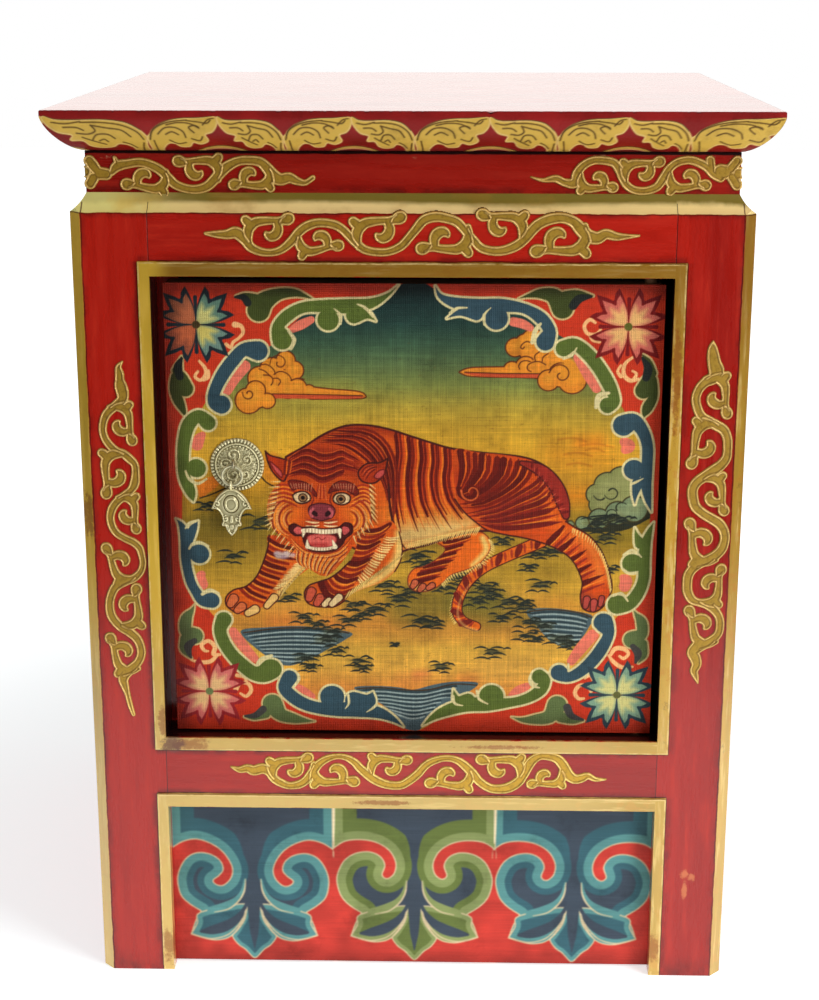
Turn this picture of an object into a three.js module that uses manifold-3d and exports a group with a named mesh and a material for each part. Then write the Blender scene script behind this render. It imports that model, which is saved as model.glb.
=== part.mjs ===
// A painted bedside cabinet: four legs, a moulded top on a set-back waist, one door that
// turns on two pivots, a floor on cleats, aprons below, and a pull with a ring and a drop.
// Millimetres. +Z is up, +X is to the right and -Y is to the front.
// The origin is on the floor, in the middle of the plan.

import * as THREE from 'three';
import { mergeVertices } from 'three/addons/utils/BufferGeometryUtils.js';
import Module from 'manifold-3d';

const wasm = await Module();
wasm.setup();

// Frame of legs and rails
const frameWidth = 436.8;
const frameDepth = 414.8;
const frameHeight = 547;
const legWidth = 50.7;
const legDepth = 44;
const legChamfer = 7.4;
const frontRailThickness = 32;
const rearRailThickness = 28;
const topRailHeight = 51.9;
const bottomRailHeight = 51.3;
const footHeight = 126.5;

// Hollow round the top of the frame, which leads back to the waist
const coveHeight = 11.8;
const coveDepth = 10.6;
const coveHollow = 1.7;

// Raised gilt beads round the door opening and the apron opening
const beadLegWidth = 7.4;
const beadRailWidth = 9;
const beadProud = 1.8;
const beadFootGap = 4;

// Joints between the pieces
const tenonLength = 20;
const tenonThickness = 12;
const tenonSetback = 10;
const tenonShoulder = 12;
const fitGap = 0.3;
const grooveDepth = 6;
const grooveEndGap = 0.5;

// Panels and aprons
const panelThickness = 10;
const panelSetback = 8;
const apronThickness = 10;
const apronSetback = 12;
const apronFloorGap = 1.5;
const backBoardCount = 3;

// Waist and top
const waistHeight = 26.2;
const waistThickness = 20;
const topThickness = 26.8;
const topOverhang = 12.6;
const topLip = 3.4;
const topShadowGap = 1.8;
const topShadowInset = 4;

// Floor of the cupboard
const floorThickness = 12;
const floorDrop = 4;
const floorGap = 0.5;
const floorBoardCount = 3;
const cleatSize = 18;

// Door
const doorThickness = 18;
const canvasThickness = 0.8;
const doorSetback = 11;
const doorGapLatch = 6.4;
const doorGapTop = 6;
const doorGapBottom = 1.4;
const doorSwingGap = 0.5;
const doorCornerRadius = 3;
const doorBoardCount = 3;
const battenHeight = 36;
const battenThickness = 14;
const battenInset = 24;
const battenEdge = 30;

// Pivots and stop
const pivotRadius = 4;
const pivotIntoDoor = 24;
const pivotIntoRail = 12;
const pivotCollarRadius = 7;
const stopOverlap = 8;
const stopThickness = 12;
const stopGap = 0.4;

// Pull on the door
const plateRadius = 18;
const plateRimHeight = 2;
const plateDomeHeight = 3.4;
const plateFromLatchEdge = 45.7;
const plateBelowDoorTop = 121.1;
const stapleOffset = -1.9;
const stapleRise = 1.3;
const stapleWire = 1.8;
const stapleEyeBore = 2;
const stapleClinch = 12;
const stapleHoleGap = 0.6;
const ringRadius = 6.6;
const ringWire = 2;
const ringOffset = -1;
const ringStandOff = 6.2;
const dropOffset = -1;
const dropThickness = 1.2;
const dropHalfWidth = 13.6;
const dropLength = 33;
const dropLoopBore = 1.4;
const dropLoopWire = 1.6;
const dropBossRadius = 6.5;
const dropBossHeight = 2.2;

// Round shapes
const roundSides = 32;
const smallSides = 8;

// Worked out from the sizes above
const frameX = frameWidth / 2;
const frameY = frameDepth / 2;
const legInnerX = frameX - legWidth;
const legInnerY = frameY - legDepth;
const openingTop = frameHeight - topRailHeight;
const openingBottom = footHeight + bottomRailHeight;
const waistX = frameX - coveDepth;
const waistY = frameY - coveDepth;
const waistTop = frameHeight + waistHeight;
const fullHeight = waistTop + topThickness;
const topX = frameX + topOverhang;
const topY = frameY + topOverhang;
const frontRailBackY = -frameY + frontRailThickness;
const rearRailFrontY = frameY - rearRailThickness;
const sideRailInnerX = frameX - rearRailThickness;
const doorFrontY = -frameY + doorSetback;
const doorBackY = doorFrontY + doorThickness;
const boardFrontY = doorFrontY + canvasThickness;
const pivotY = (doorFrontY + doorBackY) / 2;
const doorGapHinge = (Math.SQRT2 - 1) * doorThickness / 2 + doorSwingGap;
const doorRightX = legInnerX - doorGapHinge;
const doorLeftX = -legInnerX + doorGapLatch;
const pivotX = doorRightX - doorThickness / 2;
const doorBottomZ = openingBottom + doorGapBottom;
const doorTopZ = openingTop - doorGapTop;
const plateX = doorLeftX + plateFromLatchEdge;
const plateZ = doorTopZ - plateBelowDoorTop;
const stapleX = plateX + stapleOffset;
const stapleZ = plateZ + stapleRise;
const stapleBend = (stapleWire + fitGap) / 2;
const stapleHoleRadius = stapleBend + stapleWire / 2 + stapleHoleGap;
const ringX = stapleX + ringOffset;
const ringY = doorFrontY - ringStandOff;
const ringTopZ = stapleZ - (stapleEyeBore - ringWire / 2 - fitGap);
const ringZ = ringTopZ - ringRadius;
const ringBottomZ = ringZ - ringRadius;
const dropX = ringX + dropOffset;
const dropLoopZ = ringBottomZ - (dropLoopBore - ringWire / 2 - fitGap);
const tooFar = 1;

// Finishes
const redLacquer = new THREE.MeshStandardMaterial({ color: 0x9c1b0c, roughness: 0.35, metalness: 0 });
const innerWood = new THREE.MeshStandardMaterial({ color: 0x8a5a34, roughness: 0.75, metalness: 0 });
const paintedCanvas = new THREE.MeshStandardMaterial({ color: 0xb07c22, roughness: 0.5, metalness: 0 });
const paintedWood = new THREE.MeshStandardMaterial({ color: 0x4a7f86, roughness: 0.5, metalness: 0 });
const paleBrass = new THREE.MeshStandardMaterial({ color: 0xb9b08a, roughness: 0.35, metalness: 1 });
const iron = new THREE.MeshStandardMaterial({ color: 0x4b4743, roughness: 0.6, metalness: 1 });

// Solids from closed three.js geometries, and back again
function solidOf(geometry) {
  const bare = geometry.clone();
  bare.deleteAttribute('normal');
  bare.deleteAttribute('uv');
  const merged = mergeVertices(bare, 1e-5);
  const vertProperties = new Float32Array(merged.attributes.position.array);
  const triVerts = new Uint32Array(merged.index.array);
  return new wasm.Manifold(new wasm.Mesh({ numProp: 3, vertProperties, triVerts }));
}

function geometryOf(solid) {
  const mesh = solid.getMesh();
  const geometry = new THREE.BufferGeometry();
  geometry.setAttribute('position', new THREE.BufferAttribute(new Float32Array(mesh.vertProperties), 3));
  geometry.setIndex(new THREE.BufferAttribute(new Uint32Array(mesh.triVerts), 1));
  geometry.computeVertexNormals();
  return geometry;
}

// Moves each corner of a geometry by its own rule, so that faces land on exact values
function reshape(geometry, rule) {
  const position = geometry.attributes.position;
  for (let i = 0; i < position.count; i += 1) {
    position.setXYZ(i, ...rule(position.getX(i), position.getY(i), position.getZ(i)));
  }
  return solidOf(geometry);
}

// A box between two corners, given as a pair of values along each axis, in either order
function block(xs, ys, zs) {
  const pick = (values, high) => (high ? Math.max(...values) : Math.min(...values));
  const unit = new THREE.BoxGeometry(1, 1, 1);
  return reshape(unit, (x, y, z) => [pick(xs, x > 0), pick(ys, y > 0), pick(zs, z > 0)]);
}

function extruded(shape, curveSegments) {
  return new THREE.ExtrudeGeometry(shape, { depth: 1, bevelEnabled: false, curveSegments });
}

// A flat outline drawn in X and Z, drawn out along Y
function outlineAlongY(shape, frontY, backY, curveSegments = 8) {
  return reshape(extruded(shape, curveSegments), (a, b, t) => [a, t > 0 ? frontY : backY, b]);
}

// A flat outline drawn in Y and Z, drawn out along X
function outlineAlongX(shape, leftX, rightX, curveSegments = 8) {
  return reshape(extruded(shape, curveSegments), (a, b, t) => [t > 0 ? rightX : leftX, a, b]);
}

// A flat outline drawn in X and Y, drawn out along Z
function outlineAlongZ(shape, bottomZ, topZ, curveSegments = 8) {
  return reshape(extruded(shape, curveSegments), (a, b, t) => [a, b, t > 0 ? topZ : bottomZ]);
}

function circle(radius, a, b) {
  const shape = new THREE.Shape();
  shape.absarc(a, b, radius, 0, 2 * Math.PI, false);
  return shape;
}

function cylinderAlongZ(radius, x, y, bottomZ, topZ) {
  return outlineAlongZ(circle(radius, x, y), bottomZ, topZ, roundSides);
}

function cylinderAlongY(radius, x, z, frontY, backY) {
  return outlineAlongY(circle(radius, x, z), frontY, backY, roundSides);
}

function outline(points) {
  return new THREE.Shape(points.map(([a, b]) => new THREE.Vector2(a, b)));
}

function cutBy(solid, cutters) {
  return cutters.reduce((left, cutter) => left.subtract(cutter), solid);
}

// The edges of equal boards laid side by side, so that neighbours share one plane
function boardEdges(low, high, count) {
  return Array.from({ length: count + 1 }, (_, i) => low + i * (high - low) / count);
}

const cabinet = new THREE.Group();

function addPiece(name, solid, material) {
  const mesh = new THREE.Mesh(geometryOf(solid), material.clone());
  mesh.name = name;
  cabinet.add(mesh);
}

// The hollow cut round the top of the frame, as a section across a face at distance "face"
// from the middle; sign is -1 on the low side and 1 on the high side
function coveSection(face, sign) {
  const foot = frameHeight - coveHeight;
  const shape = new THREE.Shape();
  shape.moveTo(sign * face, foot);
  shape.quadraticCurveTo(
    sign * (face - coveDepth / 2 - coveHollow),
    foot + coveHeight / 2 - coveHollow,
    sign * (face - coveDepth),
    frameHeight,
  );
  shape.lineTo(sign * (face - coveDepth), frameHeight + tooFar);
  shape.lineTo(sign * (face + tooFar), frameHeight + tooFar);
  shape.lineTo(sign * (face + tooFar), foot);
  return shape;
}

const coves = [
  outlineAlongX(coveSection(frameY, -1), -frameX - tooFar, frameX + tooFar),
  outlineAlongX(coveSection(frameY, 1), -frameX - tooFar, frameX + tooFar),
  outlineAlongY(coveSection(frameX, -1), -frameY - tooFar, frameY + tooFar),
  outlineAlongY(coveSection(frameX, 1), -frameY - tooFar, frameY + tooFar),
];

// The two heights at which rails meet the legs
const railLevels = [
  { level: 'top', bottomZ: openingTop, topZ: frameHeight },
  { level: 'bottom', bottomZ: footHeight, topZ: openingBottom },
];

// The tenon at one end of a front or back rail; clearance widens it into its mortise
function tenonAlongX(side, face, level, clearance) {
  const near = Math.sign(face) * (Math.abs(face) - tenonSetback);
  const far = near - Math.sign(face) * tenonThickness;
  const spread = Math.sign(face) * clearance;
  return block(
    [side * (legInnerX - tooFar), side * (legInnerX + tenonLength + clearance)],
    [near + spread, far - spread],
    [level.bottomZ + tenonShoulder - clearance, level.topZ - tenonShoulder + clearance],
  );
}

// The tenon at one end of a side rail
function tenonAlongY(side, end, level, clearance) {
  const near = side * (frameX - tenonSetback + clearance);
  const far = side * (frameX - tenonSetback - tenonThickness - clearance);
  return block(
    [near, far],
    [end * (legInnerY - tooFar), end * (legInnerY + tenonLength + clearance)],
    [level.bottomZ + tenonShoulder - clearance, level.topZ - tenonShoulder + clearance],
  );
}

// Where the side panels, the back boards and the aprons stand, measured across their thickness
function layer(face, setback, thickness, clearance) {
  const sign = Math.sign(face);
  const outer = Math.abs(face) - setback;
  return [sign * (outer + clearance), sign * (outer - thickness - clearance)];
}

const panelBand = [openingBottom - grooveDepth, openingTop + grooveDepth];
const panelReach = grooveDepth - grooveEndGap;
const panelZ = [openingBottom - panelReach, openingTop + panelReach];
const apronBand = [-tooFar, footHeight + grooveDepth];
const apronZ = [apronFloorGap, footHeight + panelReach];

// Legs
function legChamferCutter(side, end) {
  const x = side * frameX;
  const y = end * frameY;
  const corner = outline([
    [x - side * legChamfer, y + end * tooFar],
    [x - side * legChamfer, y],
    [x, y - end * legChamfer],
    [x + side * tooFar, y - end * legChamfer],
    [x + side * tooFar, y + end * tooFar],
  ]);
  return outlineAlongZ(corner, -tooFar, frameHeight + tooFar);
}

function legBeads(side) {
  const xs = [side * legInnerX, side * (legInnerX + beadLegWidth)];
  const ys = [-frameY - beadProud, -frameY + tooFar];
  const doorBead = block(xs, ys, [openingBottom - beadRailWidth, openingTop + beadRailWidth]);
  const apronBead = block(xs, ys, [beadFootGap, footHeight + beadRailWidth]);
  return doorBead.add(apronBead);
}

function legGrooves(side, end) {
  const grooveX = [side * (legInnerX - tooFar), side * (legInnerX + grooveDepth)];
  const grooveY = [end * (legInnerY - tooFar), end * (legInnerY + grooveDepth)];
  const sidePanelX = layer(side * frameX, panelSetback, panelThickness, fitGap);
  const sideApronX = layer(side * frameX, apronSetback, apronThickness, fitGap);
  const grooves = [block(sidePanelX, grooveY, panelBand), block(sideApronX, grooveY, apronBand)];
  if (end < 0) {
    grooves.push(block(grooveX, layer(-frameY, apronSetback, apronThickness, fitGap), apronBand));
  } else {
    grooves.push(block(grooveX, layer(frameY, panelSetback, panelThickness, fitGap), panelBand));
  }
  return grooves;
}

function leg(side, end) {
  let post = block(
    [side * legInnerX, side * frameX],
    [end * legInnerY, end * frameY],
    [0, frameHeight],
  );
  post = cutBy(post, [...coves, legChamferCutter(side, end), ...legGrooves(side, end)]);
  for (const level of railLevels) {
    post = post.subtract(tenonAlongX(side, end * frameY, level, fitGap));
    post = post.subtract(tenonAlongY(side, end, level, fitGap));
  }
  return end < 0 ? post.add(legBeads(side)) : post;
}

for (const [endName, end] of [['front', -1], ['back', 1]]) {
  for (const [sideName, side] of [['left', -1], ['right', 1]]) {
    addPiece(`leg_${endName}_${sideName}`, leg(side, end), redLacquer);
  }
}

// Rails
function railBeads(level) {
  const xs = [-legInnerX, legInnerX];
  const ys = [-frameY - beadProud, -frameY + tooFar];
  if (level.level === 'top') {
    return block(xs, ys, [level.bottomZ, level.bottomZ + beadRailWidth]);
  }
  const upper = block(xs, ys, [level.topZ - beadRailWidth, level.topZ]);
  return upper.add(block(xs, ys, [level.bottomZ, level.bottomZ + beadRailWidth]));
}

function pivotSocket(level) {
  const radius = pivotRadius + fitGap;
  const depth = pivotIntoRail + fitGap;
  if (level.level === 'top') {
    return cylinderAlongZ(radius, pivotX, pivotY, openingTop - tooFar, openingTop + depth);
  }
  return cylinderAlongZ(radius, pivotX, pivotY, openingBottom - depth, openingBottom + tooFar);
}

function frontRail(level) {
  const zs = [level.bottomZ, level.topZ];
  let rail = block([-legInnerX, legInnerX], [-frameY, frontRailBackY], zs);
  rail = rail.add(tenonAlongX(-1, -frameY, level, 0)).add(tenonAlongX(1, -frameY, level, 0));
  rail = cutBy(rail, [...coves, pivotSocket(level)]);
  if (level.level === 'bottom') {
    const groove = layer(-frameY, apronSetback, apronThickness, fitGap);
    rail = rail.subtract(block([-frameX, frameX], groove, apronBand));
  }
  return rail.add(railBeads(level));
}

function backRail(level) {
  const zs = [level.bottomZ, level.topZ];
  let rail = block([-legInnerX, legInnerX], [rearRailFrontY, frameY], zs);
  rail = rail.add(tenonAlongX(-1, frameY, level, 0)).add(tenonAlongX(1, frameY, level, 0));
  const groove = layer(frameY, panelSetback, panelThickness, fitGap);
  return cutBy(rail, [...coves, block([-frameX, frameX], groove, panelBand)]);
}

function sideRail(side, level) {
  const zs = [level.bottomZ, level.topZ];
  let rail = block([side * sideRailInnerX, side * frameX], [-legInnerY, legInnerY], zs);
  rail = rail.add(tenonAlongY(side, -1, level, 0)).add(tenonAlongY(side, 1, level, 0));
  const panelGroove = layer(side * frameX, panelSetback, panelThickness, fitGap);
  const apronGroove = layer(side * frameX, apronSetback, apronThickness, fitGap);
  const length = [-frameY, frameY];
  const cutters = [...coves, block(panelGroove, length, panelBand)];
  if (level.level === 'bottom') {
    cutters.push(block(apronGroove, length, apronBand));
  }
  return cutBy(rail, cutters);
}

for (const level of railLevels) {
  addPiece(`${level.level}_rail_front`, frontRail(level), redLacquer);
  addPiece(`${level.level}_rail_back`, backRail(level), redLacquer);
  addPiece(`${level.level}_rail_left`, sideRail(-1, level), redLacquer);
  addPiece(`${level.level}_rail_right`, sideRail(1, level), redLacquer);
}

// Side panels, back boards and aprons, each in its grooves
const panelY = [-legInnerY - panelReach, legInnerY + panelReach];
for (const [sideName, side] of [['left', -1], ['right', 1]]) {
  const panelX = layer(side * frameX, panelSetback, panelThickness, 0);
  const apronX = layer(side * frameX, apronSetback, apronThickness, 0);
  addPiece(`side_panel_${sideName}`, block(panelX, panelY, panelZ), redLacquer);
  addPiece(`apron_${sideName}`, block(apronX, panelY, apronZ), redLacquer);
}

const acrossX = legInnerX + panelReach;
const backY = layer(frameY, panelSetback, panelThickness, 0);
const backEdges = boardEdges(-acrossX, acrossX, backBoardCount);
for (let i = 0; i < backBoardCount; i += 1) {
  const board = block([backEdges[i], backEdges[i + 1]], backY, panelZ);
  addPiece(`back_board_${i + 1}`, board, redLacquer);
}

const frontApronY = layer(-frameY, apronSetback, apronThickness, 0);
addPiece('apron_front', block([-acrossX, acrossX], frontApronY, apronZ), paintedWood);

// Floor boards on cleats
const floorTop = openingBottom - floorDrop;
const floorBottom = floorTop - floorThickness;
const floorFrontY = frontRailBackY + floorGap;
const floorBackY = rearRailFrontY - floorGap;
const floorEdges = boardEdges(floorFrontY, floorBackY, floorBoardCount);
const floorHalfWidth = sideRailInnerX - floorGap;

function legNotches() {
  const notches = [];
  for (const side of [-1, 1]) {
    for (const end of [-1, 1]) {
      notches.push(block(
        [side * (legInnerX - floorGap), side * frameX],
        [end * (legInnerY - floorGap), end * frameY],
        [floorBottom - tooFar, floorTop + tooFar],
      ));
    }
  }
  return notches;
}

for (let i = 0; i < floorBoardCount; i += 1) {
  const board = block(
    [-floorHalfWidth, floorHalfWidth],
    [floorEdges[i], floorEdges[i + 1]],
    [floorBottom, floorTop],
  );
  addPiece(`floor_board_${i + 1}`, cutBy(board, legNotches()), innerWood);
}

for (const [sideName, side] of [['left', -1], ['right', 1]]) {
  const cleat = block(
    [side * (sideRailInnerX - cleatSize), side * sideRailInnerX],
    [-legInnerY, legInnerY],
    [floorBottom - cleatSize, floorBottom],
  );
  addPiece(`floor_cleat_${sideName}`, cleat, innerWood);
}

// Waist: the front and back boards run through, and the side boards stand between them
const waistZ = [frameHeight, waistTop];
const waistInnerX = waistX - waistThickness;
const waistInnerY = waistY - waistThickness;
addPiece('waist_front', block([-waistX, waistX], [-waistY, -waistInnerY], waistZ), redLacquer);
addPiece('waist_back', block([-waistX, waistX], [waistInnerY, waistY], waistZ), redLacquer);
addPiece('waist_left', block([-waistX, -waistInnerX], [-waistInnerY, waistInnerY], waistZ), redLacquer);
addPiece('waist_right', block([waistInnerX, waistX], [-waistInnerY, waistInnerY], waistZ), redLacquer);

// Top: three boards with one ovolo edge worked all round them
function topSection(edge, waist) {
  const ovoloFoot = waistTop + topShadowGap;
  const ovoloTop = fullHeight - topLip;
  const ovoloHeight = ovoloTop - ovoloFoot;
  const shape = new THREE.Shape();
  shape.moveTo(-waist + topShadowInset, waistTop);
  shape.lineTo(waist - topShadowInset, waistTop);
  shape.lineTo(waist - topShadowInset, ovoloFoot);
  shape.lineTo(waist, ovoloFoot);
  shape.absellipse(waist, ovoloTop, edge - waist, ovoloHeight, -Math.PI / 2, 0, false);
  shape.lineTo(edge, fullHeight);
  shape.lineTo(-edge, fullHeight);
  shape.lineTo(-edge, ovoloTop);
  shape.absellipse(-waist, ovoloTop, edge - waist, ovoloHeight, -Math.PI, -Math.PI / 2, false);
  shape.lineTo(-waist + topShadowInset, ovoloFoot);
  return shape;
}

const topFrontBack = outlineAlongY(topSection(topX, waistX), -topY - tooFar, topY + tooFar);
const topLeftRight = outlineAlongX(topSection(topY, waistY), -topX - tooFar, topX + tooFar);
const wholeTop = topFrontBack.intersect(topLeftRight);
const topBoards = ['front', 'middle', 'back'];
const topEdges = boardEdges(-topY, topY, topBoards.length);
topBoards.forEach((name, i) => {
  const band = block(
    [-topX - tooFar, topX + tooFar],
    [topEdges[i], topEdges[i + 1]],
    [waistTop - tooFar, fullHeight + tooFar],
  );
  addPiece(`top_board_${name}`, wholeTop.intersect(band), redLacquer);
});

// Door
function doorOutline() {
  const r = doorCornerRadius;
  const shape = new THREE.Shape();
  shape.moveTo(doorLeftX + r, doorBottomZ);
  shape.lineTo(doorRightX - r, doorBottomZ);
  shape.absarc(doorRightX - r, doorBottomZ + r, r, -Math.PI / 2, 0, false);
  shape.lineTo(doorRightX, doorTopZ - r);
  shape.absarc(doorRightX - r, doorTopZ - r, r, 0, Math.PI / 2, false);
  shape.lineTo(doorLeftX + r, doorTopZ);
  shape.absarc(doorLeftX + r, doorTopZ - r, r, Math.PI / 2, Math.PI, false);
  shape.lineTo(doorLeftX, doorBottomZ + r);
  shape.absarc(doorLeftX + r, doorBottomZ + r, r, Math.PI, 1.5 * Math.PI, false);
  return shape;
}

const stapleHole = cylinderAlongY(
  stapleHoleRadius,
  stapleX,
  stapleZ,
  doorFrontY - plateDomeHeight - tooFar,
  doorBackY + tooFar,
);
const pivotHoleRadius = pivotRadius + fitGap;
const doorTopHole = cylinderAlongZ(
  pivotHoleRadius,
  pivotX,
  pivotY,
  doorTopZ - pivotIntoDoor - fitGap,
  doorTopZ + tooFar,
);
const doorBottomHole = cylinderAlongZ(
  pivotHoleRadius,
  pivotX,
  pivotY,
  doorBottomZ - tooFar,
  doorBottomZ + pivotIntoDoor + fitGap,
);
const doorCore = cutBy(
  outlineAlongY(doorOutline(), boardFrontY, doorBackY, 4),
  [stapleHole, doorTopHole, doorBottomHole],
);
const doorEdges = boardEdges(doorLeftX, doorRightX, doorBoardCount);
const doorBandY = [boardFrontY - tooFar, doorBackY + tooFar];
for (let i = 0; i < doorBoardCount; i += 1) {
  const band = block([doorEdges[i], doorEdges[i + 1]], doorBandY, [0, frameHeight]);
  addPiece(`door_board_${i + 1}`, doorCore.intersect(band), redLacquer);
}

const canvas = outlineAlongY(doorOutline(), doorFrontY, boardFrontY, 4).subtract(stapleHole);
addPiece('door_canvas', canvas, paintedCanvas);

const battenX = [doorLeftX + battenInset, doorRightX - battenInset];
const battenY = [doorBackY, doorBackY + battenThickness];
const upperBattenZ = doorTopZ - battenEdge;
const lowerBattenZ = doorBottomZ + battenEdge;
const upperBatten = block(battenX, battenY, [upperBattenZ - battenHeight, upperBattenZ]);
const lowerBatten = block(battenX, battenY, [lowerBattenZ, lowerBattenZ + battenHeight]);
addPiece('door_batten_upper', upperBatten, innerWood);
addPiece('door_batten_lower', lowerBatten, innerWood);

// Pivots: pins held in the door that turn in sockets in the rails. The lower one has a
// collar, which carries the door a running gap above the rail.
const upperPin = cylinderAlongZ(
  pivotRadius,
  pivotX,
  pivotY,
  doorTopZ - pivotIntoDoor,
  openingTop + pivotIntoRail,
);
addPiece('door_pivot_upper', upperPin, iron);

const lowerPin = cylinderAlongZ(
  pivotRadius,
  pivotX,
  pivotY,
  openingBottom - pivotIntoRail,
  doorBottomZ + pivotIntoDoor,
);
const collar = cylinderAlongZ(
  pivotCollarRadius,
  pivotX,
  pivotY,
  openingBottom + fitGap,
  doorBottomZ,
);
addPiece('door_pivot_lower', lowerPin.add(collar), iron);

// Stop strip on the left front leg, behind the door's free edge
const stopStrip = block(
  [-legInnerX, doorLeftX + stopOverlap],
  [doorBackY + stopGap, doorBackY + stopGap + stopThickness],
  [openingBottom, openingTop],
);
addPiece('door_stop', stopStrip, redLacquer);

// Backplate: a stamped disc with a raised rim and a low dome
function backplate() {
  const rimIn = 0.8 * plateRadius;
  const points = [
    [0, 0],
    [plateRadius, 0],
    [plateRadius, plateRimHeight / 2],
    [0.94 * plateRadius, plateRimHeight],
    [rimIn, plateRimHeight],
    [0.76 * plateRadius, plateRimHeight / 2],
    [0.7 * plateRadius, plateRimHeight],
    [0.4 * plateRadius, plateDomeHeight],
    [0, plateDomeHeight],
  ].map(([r, h]) => new THREE.Vector2(r, h));
  const lathe = new THREE.LatheGeometry(points, roundSides);
  lathe.rotateX(Math.PI);
  lathe.translate(plateX, doorFrontY, plateZ);
  return solidOf(lathe).subtract(stapleHole);
}
addPiece('pull_backplate', backplate(), paleBrass);

// A round wire along a line of points, with open ends closed flat
function wireAlong(points, diameter, steps) {
  const section = new THREE.Shape();
  section.absarc(0, 0, diameter / 2, 0, 2 * Math.PI, false);
  const path = new THREE.CatmullRomCurve3(points, false, 'centripetal');
  const settings = { steps, extrudePath: path, bevelEnabled: false, curveSegments: smallSides };
  return solidOf(new THREE.ExtrudeGeometry(section, settings));
}

// Staple: one wire bent to an eye in front, its two legs driven through and bent over
function staple() {
  const eyeRadius = stapleEyeBore + stapleWire / 2;
  const insideY = doorBackY + fitGap + stapleWire / 2;
  const upperLeg = [
    [insideY, stapleClinch],
    [insideY, stapleClinch / 2],
    [insideY, stapleBend + 1.4 * stapleWire],
    [insideY - 0.2 * stapleWire, stapleBend + 0.5 * stapleWire],
    [doorBackY, stapleBend + fitGap / 2],
    [doorBackY - stapleWire, stapleBend],
    [doorFrontY, stapleBend],
    [doorFrontY - plateDomeHeight + stapleWire / 2, stapleBend],
  ];
  const eye = [];
  const eyeSteps = 10;
  const openAngle = 0.9;
  for (let i = 0; i <= eyeSteps; i += 1) {
    const angle = openAngle + i * (2 * Math.PI - 2 * openAngle) / eyeSteps;
    eye.push([ringY + eyeRadius * Math.cos(angle), eyeRadius * Math.sin(angle)]);
  }
  const lowerLeg = upperLeg.map(([y, z]) => [y, -z]).reverse();
  const points = [...upperLeg, ...eye, ...lowerLeg];
  return wireAlong(points.map(([y, z]) => new THREE.Vector3(stapleX, y, stapleZ + z)), stapleWire, 64);
}
addPiece('pull_staple', staple(), iron);

// Ring, hanging through the staple's eye
function ringAlongXZ(radius, wire, x, y, z) {
  const torus = new THREE.TorusGeometry(radius, wire / 2, smallSides, roundSides);
  return solidOf(torus.rotateX(Math.PI / 2).translate(x, y, z));
}
addPiece('pull_ring', ringAlongXZ(ringRadius, ringWire, ringX, ringY, ringZ), paleBrass);

// Leaf drop: a cast leaf with a boss, hung on the ring by a small loop
function dropOutline() {
  const top = dropLoopZ - dropLoopBore - dropLoopWire / 2;
  const w = dropHalfWidth;
  const l = dropLength;
  const half = [
    [0.12, 0],
    [0.3, 0.06],
    [0.72, 0.24],
    [0.95, 0.4],
    [1, 0.48],
    [0.82, 0.5],
    [0.62, 0.52],
    [0.5, 0.62],
    [0.46, 0.74],
    [0.5, 0.8],
    [0.28, 0.83],
  ].map(([across, down]) => [across * w, down * l]);
  const right = half.map(([across, down]) => [dropX + across, top - down]);
  const left = half.map(([across, down]) => [dropX - across, top - down]).reverse();
  return outline([...right, [dropX, top - l], ...left]);
}

function drop() {
  const backY = ringY + dropThickness / 2;
  const plate = outlineAlongY(dropOutline(), backY - dropThickness, backY);
  const loopRadius = dropLoopBore + dropLoopWire / 2;
  const torus = new THREE.TorusGeometry(loopRadius, dropLoopWire / 2, smallSides, roundSides / 2);
  const loop = solidOf(torus.rotateY(Math.PI / 2).translate(dropX, ringY, dropLoopZ));
  const bossZ = dropLoopZ - dropLoopBore - 0.4 * dropLength;
  const boss = new THREE.LatheGeometry([
    new THREE.Vector2(0, 0),
    new THREE.Vector2(dropBossRadius, 0),
    new THREE.Vector2(0.8 * dropBossRadius, 0.6 * dropBossHeight),
    new THREE.Vector2(0.4 * dropBossRadius, dropBossHeight),
    new THREE.Vector2(0, dropBossHeight),
  ], roundSides / 2);
  boss.rotateX(Math.PI);
  boss.translate(dropX, backY - dropThickness / 2, bossZ);
  return plate.add(loop).add(solidOf(boss));
}
addPiece('pull_drop', drop(), paleBrass);

export default cabinet;
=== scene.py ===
"""A small painted and gilt Tibetan cabinet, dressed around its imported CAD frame."""

import math

import bmesh
import bpy
import numpy as np
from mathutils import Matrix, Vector


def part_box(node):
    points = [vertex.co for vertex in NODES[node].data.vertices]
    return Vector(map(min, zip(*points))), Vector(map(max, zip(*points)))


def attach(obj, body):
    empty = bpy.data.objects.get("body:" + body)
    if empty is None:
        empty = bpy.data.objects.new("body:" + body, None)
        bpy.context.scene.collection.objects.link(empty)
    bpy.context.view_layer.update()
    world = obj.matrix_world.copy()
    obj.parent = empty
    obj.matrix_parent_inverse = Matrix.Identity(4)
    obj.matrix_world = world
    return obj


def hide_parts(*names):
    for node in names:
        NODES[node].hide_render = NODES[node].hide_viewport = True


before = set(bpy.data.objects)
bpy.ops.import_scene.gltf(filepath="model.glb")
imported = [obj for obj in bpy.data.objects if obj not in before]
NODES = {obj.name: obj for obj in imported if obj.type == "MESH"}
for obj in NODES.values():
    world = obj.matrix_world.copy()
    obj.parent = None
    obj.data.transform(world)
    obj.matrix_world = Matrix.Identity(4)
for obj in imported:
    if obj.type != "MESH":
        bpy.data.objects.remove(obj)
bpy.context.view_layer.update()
MM = 0.001

# Places read from the frame, in millimetres
def span(node, axis):
    """Lowest and highest place of a CAD node along axis 0, 1 or 2."""
    low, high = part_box(node)
    return low[axis] / MM, high[axis] / MM


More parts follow.
